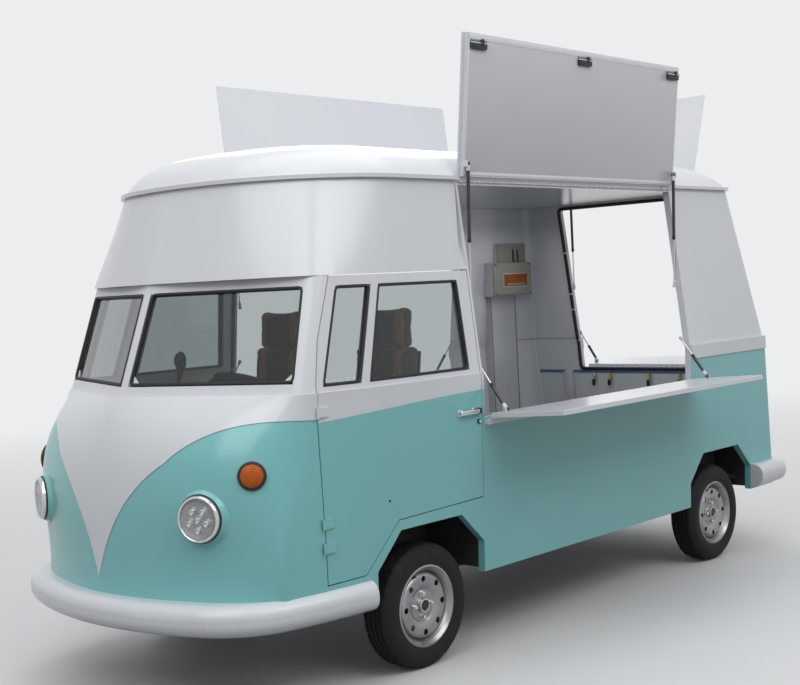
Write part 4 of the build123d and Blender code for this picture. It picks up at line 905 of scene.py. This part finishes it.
def strut_fittings(serving, kind):
    """White end fittings on the gas struts, and a black bush where the rod leaves the tube."""
    end, socket = TUBE_LENGTHS[kind], SOCKETS[kind]
    lip = end + 4
    bush = mm((9.1, end - 16), (9.7, end - 14), (9.7, end), (7, lip), (4.5, lip), (4.5, end), (9.1, end))
    cup = mm((6.5, 6), (8, 9), (8, 0.65 * socket), (5.8, 0.94 * socket), (4.3, socket))
    caps, ends = Build("nylon"), Build("nylon")
    for panel, foot in serving.strut_ends(kind):
        way = (foot - panel).normalized()
        here, there = facing(panel, way), facing(foot, -way)
        caps.use("nylon").lathe(COLLAR, here, 20, True)
        caps.use("rubber").lathe(bush, here, 20, True)
        ends.lathe(cup, there, 20).ball(foot, 0.0102)
    panel_name = f"{serving.name}_{kind}"
    caps.done(f"{panel_name}_strut_fittings", "strut_black", f"{panel_name}_strut_tubes")
    ends.done(f"{panel_name}_rod_fittings", "strut_steel", f"{panel_name}_strut_rods")


for serving in SERVINGS:
    hatch_lining(serving)
    hatch_latches(serving)
    counter_edge(serving)
    hinge_knuckles(serving, "hatch", serving.hatch, 0.006)
    hinge_knuckles(serving, "counter", serving.counter, 0.012)
    strut_fittings(serving, "hatch")
    strut_fittings(serving, "counter")


def on_rear_wall(y, z):
    """A point on the rear panel's inner face, with its normal."""
    return hit("rear_panel", at(KITCHEN_X, y, z), (-1, 0, 0))


# Thick rubber seal round the rear opening, on the inside of the wall, with its clips
REAR_HALF, SILL, HEAD, SEAL_GAP = 0.495, 1.130, 2.252, 0.006
REAR_SEAL_SECTION = moulding(0.011, 0.006, 0.004, 0.007, 0.014)
seal_y, seal_low, seal_high = REAR_HALF + SEAL_GAP, SILL - SEAL_GAP, HEAD + SEAL_GAP
corners = [(-seal_y, seal_low), (seal_y, seal_low), (seal_y, seal_high), (-seal_y, seal_high)]
path = [on_rear_wall(y, z) for y, z in spaced(rounded(corners, 0.03), 0.05)]
seal = Build("rubber").sweep(*zip(*path), REAR_SEAL_SECTION)
seal.use("nylon")
for side in (-1, 1):
    for z in (1.33, 1.55, 1.66, 1.95):
        point, normal = on_rear_wall(side * seal_y, z)
        seal.box(point + normal * 0.006, (0.019, 0.026, 0.009), 0.003)
seal.done("rear_opening_seal", "dash_plastic")

# Electrical box on the right wall: lid, orange window in a light frame, two tubes, and grey strips of painted
# shade down the duct's edges
FACE_Y = -0.765
LID_X, LID_Z = -2.8375, 1.7885
WINDOW_X, WINDOW_Z = -2.862, 1.780
unit = Build("olive").box(at(LID_X, FACE_Y + 0.006, LID_Z), (0.427, 0.014, 0.225), 0.008, segments=4)
unit.use("panel").box(at(WINDOW_X, FACE_Y + 0.0145, WINDOW_Z), (0.276, 0.005, 0.098), 0.002)
unit.use("window").box(at(WINDOW_X, FACE_Y + 0.0165, WINDOW_Z), (0.262, 0.005, 0.084), 0.002)
unit.use("dash")
for z in (1.687, 1.890):
    for x in (-2.646, -3.030):
        unit.rod(at(x, FACE_Y + 0.010, z), at(x, FACE_Y + 0.0155, z), 0.006)
unit.use("olive").box(at(WINDOW_X, FACE_Y + 0.0188, WINDOW_Z - 0.028), (0.200, 0.004, 0.012), 0.0015)
unit.use("tube")
TUBE_Y_Z = ((-0.793, 1.905), (-0.793, 1.965), (-0.797, 1.990), (-0.812, 2.005))
for x in (-2.900, -2.950):
    unit.tube([at(x, y, z) for y, z in TUBE_Y_Z], 0.009)
unit.use("olive").box(at(-2.8825, -0.797, 1.972), (0.322, 0.008, 0.130), 0.004)
# Two grey strips at the duct's edges: painted shade, standing in for the soft shadow there
for x in (-2.676, -2.950):
    unit.use("duct_shade_line").box(at(x, -0.832, 1.190), (0.007, 0.008, 0.950), 0.003)
unit.done("electrical_box_fittings", "white_panel")

# Under the rear opening: a blue strip that turns round the corner, and a leaning post
STRIP_Z, STRIP_HALF, POST_LEAN = 1.103, 0.0095, 0.11
STRIP_SECTION = [(-STRIP_HALF, -0.002), (-STRIP_HALF, 0.0045), (STRIP_HALF, 0.0045), (STRIP_HALF, -0.002)]
inside = Build("tape")
for low, high in ((-0.719, -0.640), (-0.570, 0.700)):
    middle = on_rear_wall((low + high) / 2, STRIP_Z)[0]
    inside.box(middle + Vector((0.002, 0, 0)), (0.005, high - low, 2 * STRIP_HALF), 0.001)
corner = []
for y in (-0.72, -0.80, -0.85, -0.87):
    corner.append(hit("right_side_panel", at(KITCHEN_X, y, STRIP_Z), (-1, 0, 0)))
inside.sweep(*zip(*corner), STRIP_SECTION, closed=False)
post = Matrix.Translation(on_rear_wall(-0.605, 0.760)[0]) @ Matrix.Rotation(math.atan(POST_LEAN), 4, "Y")
inside.use("panel").box((0.018, 0, 0), (0.036, 0.066, 0.700), 0.006, post)
inside.done("rear_wall_strip", "white_panel")

# Latches that hang under the rear opening
LATCH_Z = 1.090
latches = Build("chrome")
for y, look in ((-0.385, "chrome"), (-0.254, "yellow"), (0.063, "yellow"), (0.300, "yellow")):
    top = on_rear_wall(y, LATCH_Z)[0] + Vector((0.010, 0, 0))
    latches.use(look).box(top + Vector((0.003, 0, -0.022)), (0.014, 0.018, 0.048), 0.004)
    latches.use("rubber").box(top + Vector((0.004, -0.010, -0.064)), (0.016, 0.020, 0.044), 0.005)
    latches.use("chrome").rod(top + Vector((-0.008, 0, 0.004)), top + Vector((0.012, 0, 0.004)), 0.005)
latches.done("rear_counter_latches", "lamp_chrome")

# Black brake hose behind each rear wheel, between the axle and the body
HOSE = [
    (-2.97, 0.70, 0.51), (-2.99, 0.77, 0.475), (-3.04, 0.80, 0.45), (-3.10, 0.81, 0.445), (-3.15, 0.80, 0.50),
]
for side_name, side in SIDES:
    hose = Build("rubber").tube([at(x, side * y, z) for x, y, z in HOSE], 0.006)
    hose.use("rod").rod(at(-3.15, side * 0.80, 0.498), at(-3.15, side * 0.80, 0.53), 0.009)
    hose.done(f"rear_{side_name}_brake_hose", "dash_plastic")


# Seats: swollen pads on a shell, with sewn channels and a stripe inside each bolster
PUFF_FRAMES, PUFF_PRESSURE, VOXEL = 20, 4, 0.006
SEAM_LIMIT = 0.010


def evaluated_mesh(obj):
    """The object's mesh with its modifiers applied, as new mesh data."""
    bpy.context.view_layer.update()
    return bpy.data.meshes.new_from_object(obj.evaluated_get(bpy.context.evaluated_depsgraph_get()))


def swollen(size, cap):
    """A stuffed block: remeshed, blown up a little as cloth, and kept near its shape."""
    scene = bpy.context.scene
    block = Build("seat").box((0, 0, 0), size, min(size) * 0.42, segments=4)
    mesh = bpy.data.meshes.new("pad")
    block.bm.to_mesh(mesh)
    block.bm.free()
    obj = bpy.data.objects.new("pad", mesh)
    scene.collection.objects.link(obj)
    remesh = obj.modifiers.new("voxels", "REMESH")
    remesh.mode = "VOXEL"
    remesh.voxel_size = VOXEL
    fine = evaluated_mesh(obj)
    obj.modifiers.clear()
    obj.data = fine
    before = [v.co.copy() for v in fine.vertices]
    cloth = obj.modifiers.new("cloth", "CLOTH")
    cloth.settings.use_pressure = True
    cloth.settings.uniform_pressure_force = PUFF_PRESSURE
    cloth.settings.effector_weights.gravity = 0
    cloth.settings.quality = 4
    cloth.point_cache.frame_start = 1
    cloth.point_cache.frame_end = PUFF_FRAMES
    for step in range(1, PUFF_FRAMES + 1):
        scene.frame_set(step)
    fine = evaluated_mesh(obj)
    for v, old in zip(fine.vertices, before):
        move = v.co - old
        if move.length > cap:
            v.co = old + move * (cap / move.length)
    scene.frame_set(1)
    bpy.data.objects.remove(obj)
    return fine


def seat_pad(name, mesh, place, seams, node):
    """One pad from a swollen mesh, with seams pressed in, in its place on the seat."""
    mesh = mesh.copy()
    mesh.name = name
    bm = bmesh.new()
    bm.from_mesh(mesh)
    bm.normal_update()
    moves = []
    for v in bm.verts:
        depth = 0.0
        for axis, value, width, amount in seams:
            off = (v.co[axis] - value) / width
            depth += amount * math.exp(-off * off)
        moves.append(v.normal * -min(depth, SEAM_LIMIT))
    for v, move in zip(bm.verts, moves):
        v.co += move
        v.co = place @ v.co
    for f in bm.faces:
        f.smooth = True
    bmesh.ops.recalc_face_normals(bm, faces=bm.faces[:])
    bm.to_mesh(mesh)
    bm.free()
    mesh.materials.clear()
    mesh.materials.append(FINISH["seat"])
    obj = bpy.data.objects.new(name, mesh)
    bpy.context.scene.collection.objects.link(obj)
    sub = obj.modifiers.new("smooth", "SUBSURF")
    sub.levels = sub.render_levels = 1
    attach(obj, "vehicle")
    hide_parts(node)


# Seams: axis of the pad, place on it, width and depth
SIDE_SEAMS = [(1, s * (STRIPE + t), 0.005, 0.006) for s in (-1, 1) for t in (-STRIPE_HALF, STRIPE_HALF)]
CUSHION_SEAMS = SIDE_SEAMS + [(0, x, 0.005, 0.003) for x in (-0.10, -0.02, 0.06)]
BACK_SEAMS = SIDE_SEAMS + [(0, x, 0.005, 0.003) for x in (-0.14, -0.06, 0.02, 0.10)]
BACK_LEAN, HEAD_LEAN, LAP_LEAN = math.atan2(0.072, 0.530), 0.06, 0.05
cushion_mesh = swollen((0.400, 0.415, 0.070), 0.014)
back_mesh = swollen((0.505, 0.405, 0.070), 0.014)
head_mesh = swollen((0.205, 0.325, 0.068), 0.012)


def leaning(x, y, z, turn):
    """A pad's frame at a point, turned about Y."""
    return Matrix.Translation(at(x, y, z)) @ Matrix.Rotation(turn, 4, "Y")


for seat, side in (("driver_seat", 1), ("passenger_seat", -1)):
    y = side * SEAT_Y
    back = leaning(-0.280, y, 1.235, -math.pi / 2 - BACK_LEAN)
    head = leaning(-0.314, y, 1.571, -math.pi / 2 - HEAD_LEAN)
    seat_pad(f"{seat}_cushion", cushion_mesh, leaning(-0.010, y, 0.918, -LAP_LEAN), CUSHION_SEAMS, seat)
    seat_pad(f"{seat}_back", back_mesh, back, BACK_SEAMS, seat)
    seat_pad(f"{seat}_headrest", head_mesh, head, SIDE_SEAMS, seat)
    shell = Build("dash")
    shell.box(at(-0.030, y, 0.874), (0.420, 0.400, 0.022), 0.008, segments=3)
    shell.box((-0.010, 0, 0.040), (0.470, 0.380, 0.014), 0.006, back, 3)
    shell.box(at(-0.318, y, 1.475), (0.036, 0.230, 0.060), 0.010, segments=3)
    shell.use("rod")
    for off in (-0.055, 0.055):
        shell.rod(at(-0.310, y + off, 1.460), at(-0.307, y + off, 1.570), 0.0065)
    shell.use("dash")
    for off in (-0.222, 0.222):
        shell.box(at(-0.262, y + off, 0.945), (0.075, 0.022, 0.110), 0.009, segments=3)
    shell.done(f"{seat}_shell", "dash_plastic", replaces=seat)

# Dashboard fittings: a hooded cluster with two dials, vents, a radio and stalks
CLUSTER_X, CLUSTER_Z, CLUSTER_TURN = 0.735, 1.345, 0.55
VENTS_Y, SLATS, SLAT_PITCH = (-0.70, -0.12, 0.12, 0.70), 5, 0.012
RADIO_Z = 1.245
dash = Build("dash")
cluster = leaning(CLUSTER_X, 0.400, CLUSTER_Z, CLUSTER_TURN)
dash.box((0, 0, 0.010), (0.120, 0.300, 0.070), 0.022, cluster, 4)
for y in (-0.065, 0.065):
    dial = cluster @ Matrix.Translation((-0.058, y, 0.012)) @ Matrix.Rotation(-math.pi / 2, 4, "Y")
    dash.use("chrome").lathe(mm((46, 0), (46, 5), (43, 7), (41, 5), (41, 2)), dial, 36)
    dash.use("dial").lathe(mm((41, 2.2), (30, 2.2), (0, 2.2)), dial, 36)
    dash.use("nylon")
    for k in range(9):
        tick = dial @ Matrix.Rotation(math.radians(-120 + 30 * k), 4, "Z")
        dash.box((0, 0.035, 0.0028), (0.0022, 0.007, 0.0008), 0.0, tick)
    needle = dial @ Matrix.Rotation(0.8, 4, "Z")
    dash.use("amber").box((0, 0.014, 0.0036), (0.0022, 0.034, 0.0012), 0.0, needle)
dash.use("rubber")
for y in VENTS_Y:
    for k in range(SLATS):
        dash.box(at(0.690, y, 1.225 + SLAT_PITCH * k), (0.014, 0.110, 0.004), 0.0012)
dash.use("dial").box(at(0.692, 0.0, RADIO_Z), (0.012, 0.170, 0.052), 0.004)
dash.use("nylon")
for y in (-0.070, 0.070):
    dash.rod(at(0.690, y, RADIO_Z), at(0.676, y, RADIO_Z), 0.010)
dash.use("dash")
for side in (-1, 1):
    stalk = [(0.600, 0.035, 1.300), (0.588, 0.110, 1.320), (0.575, 0.170, 1.335)]
    dash.tube([at(x, 0.400 + side * y, z) for x, y, z in stalk], [0.007, 0.006, 0.009])
dash.done("dashboard_fittings", "dash_plastic")

# Cab mirror on a stem that rises from the dashboard's top
MIRROR_Y = 0.155
STEM = [(0.825, 1.340), (0.824, 1.380), (0.815, 1.415), (0.806, 1.448), (0.800, 1.490)]
STEM_RADII = [0.005, 0.006, 0.010, 0.018, 0.022]
mirror = Build("chrome")
foot = Matrix.Translation(at(0.825, MIRROR_Y, 1.3305))
mirror.lathe(mm((36, 0), (36, 3), (28, 8), (12, 12), (7, 18), (0, 18)), foot, 32)
mirror.use("dash").tube([at(x, MIRROR_Y, z) for x, z in STEM], STEM_RADII)
oval = leaning(0.800, MIRROR_Y, 1.490, -math.pi / 2) @ Matrix.Diagonal((0.78, 0.58, 1, 1))
mirror.lathe(mm((0, -30), (30, -26), (50, -12), (56, 2), (54, 7), (50, 8), (0, 8)), oval, 44)
mirror.use("chrome").lathe(mm((0, 8), (49, 8), (49, 9), (0, 9)), oval, 44)
mirror.done("cab_mirror", "lamp_chrome")

# Camera: solved from the photograph, for a frame of 800 by 685
PHOTO_WIDTH_PX, FOCAL_PX, SENSOR = 800, 1293.48, 36.0
YAW, PITCH, ROLL = (math.radians(a) for a in (222.884, -2.523, -2.883))
CAMERA_X, CAMERA_Y, CAMERA_Z = 4.4018, 4.8541, 1.7816
forward = Vector((math.cos(YAW) * math.cos(PITCH), math.sin(YAW) * math.cos(PITCH), math.sin(PITCH)))
level = Vector((math.sin(YAW), -math.cos(YAW), 0))
upright = level.cross(forward)
right = math.cos(ROLL) * level + math.sin(ROLL) * upright
up = math.cos(ROLL) * upright - math.sin(ROLL) * level
camera_data = bpy.data.cameras.new("photo_camera")
camera_data.sensor_width = SENSOR
camera_data.lens = SENSOR * FOCAL_PX / PHOTO_WIDTH_PX
camera_data.clip_start = 0.05
camera_data.clip_end = 200
camera = bpy.data.objects.new("photo_camera", camera_data)
bpy.context.scene.collection.objects.link(camera)
turn = Matrix((right, up, -forward)).transposed().to_4x4()
camera.matrix_world = Matrix.Translation((CAMERA_X + AXLE, CAMERA_Y, CAMERA_Z)) @ turn
bpy.context.scene.camera = camera

# Floor: pale where it is seen, darker for the light it throws back, and fading to the backdrop
FLOOR_HALF, FADE_FROM, FADE_TO = 60, 3.0, 13.0
FLOOR_BOUNCE = (0.17, 0.17, 0.17, 1)
floor_mesh = bpy.data.meshes.new("studio_floor")
floor_corners = [(x * FLOOR_HALF, y * FLOOR_HALF, 0) for x, y in ((-1, -1), (1, -1), (1, 1), (-1, 1))]
floor_mesh.from_pydata(floor_corners, [], [(0, 1, 2, 3)])
studio_floor = bpy.data.objects.new("studio_floor", floor_mesh)
bpy.context.scene.collection.objects.link(studio_floor)
t = Tree("studio_floor")
seen = t.seen()
pale = t.mix(t.noise(0.8, 3), (0.66, 0.66, 0.66, 1), (0.72, 0.72, 0.72, 1))
near = t.shader(Roughness=0.7, Base_Color=t.mix(seen, FLOOR_BOUNCE, pale))
far = t.shader("ShaderNodeEmission", Color=BACKDROP)
x, y, z = t.split(t.coord)
reach = t.math("SQRT", t.math("ADD", t.math("MULTIPLY", x, x), t.math("MULTIPLY", y, y)))
fade = t.math("MULTIPLY", t.smoothstep(reach, FADE_FROM, FADE_TO), seen)
floor_mesh.materials.append(t.finish(t.blend(fade, near, far)))

# World: soft light on the object, and the pale backdrop where it is seen
WORLD_LIGHT, WORLD_STRENGTH = (0.93, 0.96, 1.0, 1), 0.50
t = Tree("studio", world=True)
light = t.shader("ShaderNodeBackground", Color=WORLD_LIGHT, Strength=WORLD_STRENGTH)
backdrop = t.shader("ShaderNodeBackground", Color=BACKDROP, Strength=1.0)
bpy.context.scene.world = t.finish(t.blend(t.seen(), light, backdrop))


def soft_light(name, place, target, size, power):
    """A rectangular lamp that shines from its place to the target."""
    data = bpy.data.lights.new(name, "AREA")
    data.shape = "RECTANGLE"
    data.size, data.size_y = size
    data.energy = power
    lamp = bpy.data.objects.new(name, data)
    bpy.context.scene.collection.objects.link(lamp)
    lamp.location = place
    lamp.rotation_mode = "QUATERNION"
    lamp.rotation_quaternion = (Vector(target) - Vector(place)).to_track_quat("-Z", "Y")
    return lamp


soft_light("key", (6.5, 2.0, 7.0), (0.3, 0, 1.0), (6, 6), 218)
soft_light("side", (0.5, 6.5, 6.8), (-0.5, 0, 1.2), (7, 4), 220)
soft_light("back", (-6.0, -6.0, 6.0), (0, 0, 1.0), (6, 6), 230)
soft_light("top", (-0.5, 0.0, 8.0), (-0.5, 0, 1.0), (8, 5), 150)
inner = soft_light("kitchen_fill", at(-2.0, 0, 2.15), at(-2.0, 0, 1.0), (1.6, 1.1), 7)
inner.visible_camera = inner.visible_glossy = inner.visible_transmission = False

bpy.context.scene.view_settings.view_transform = "Standard"
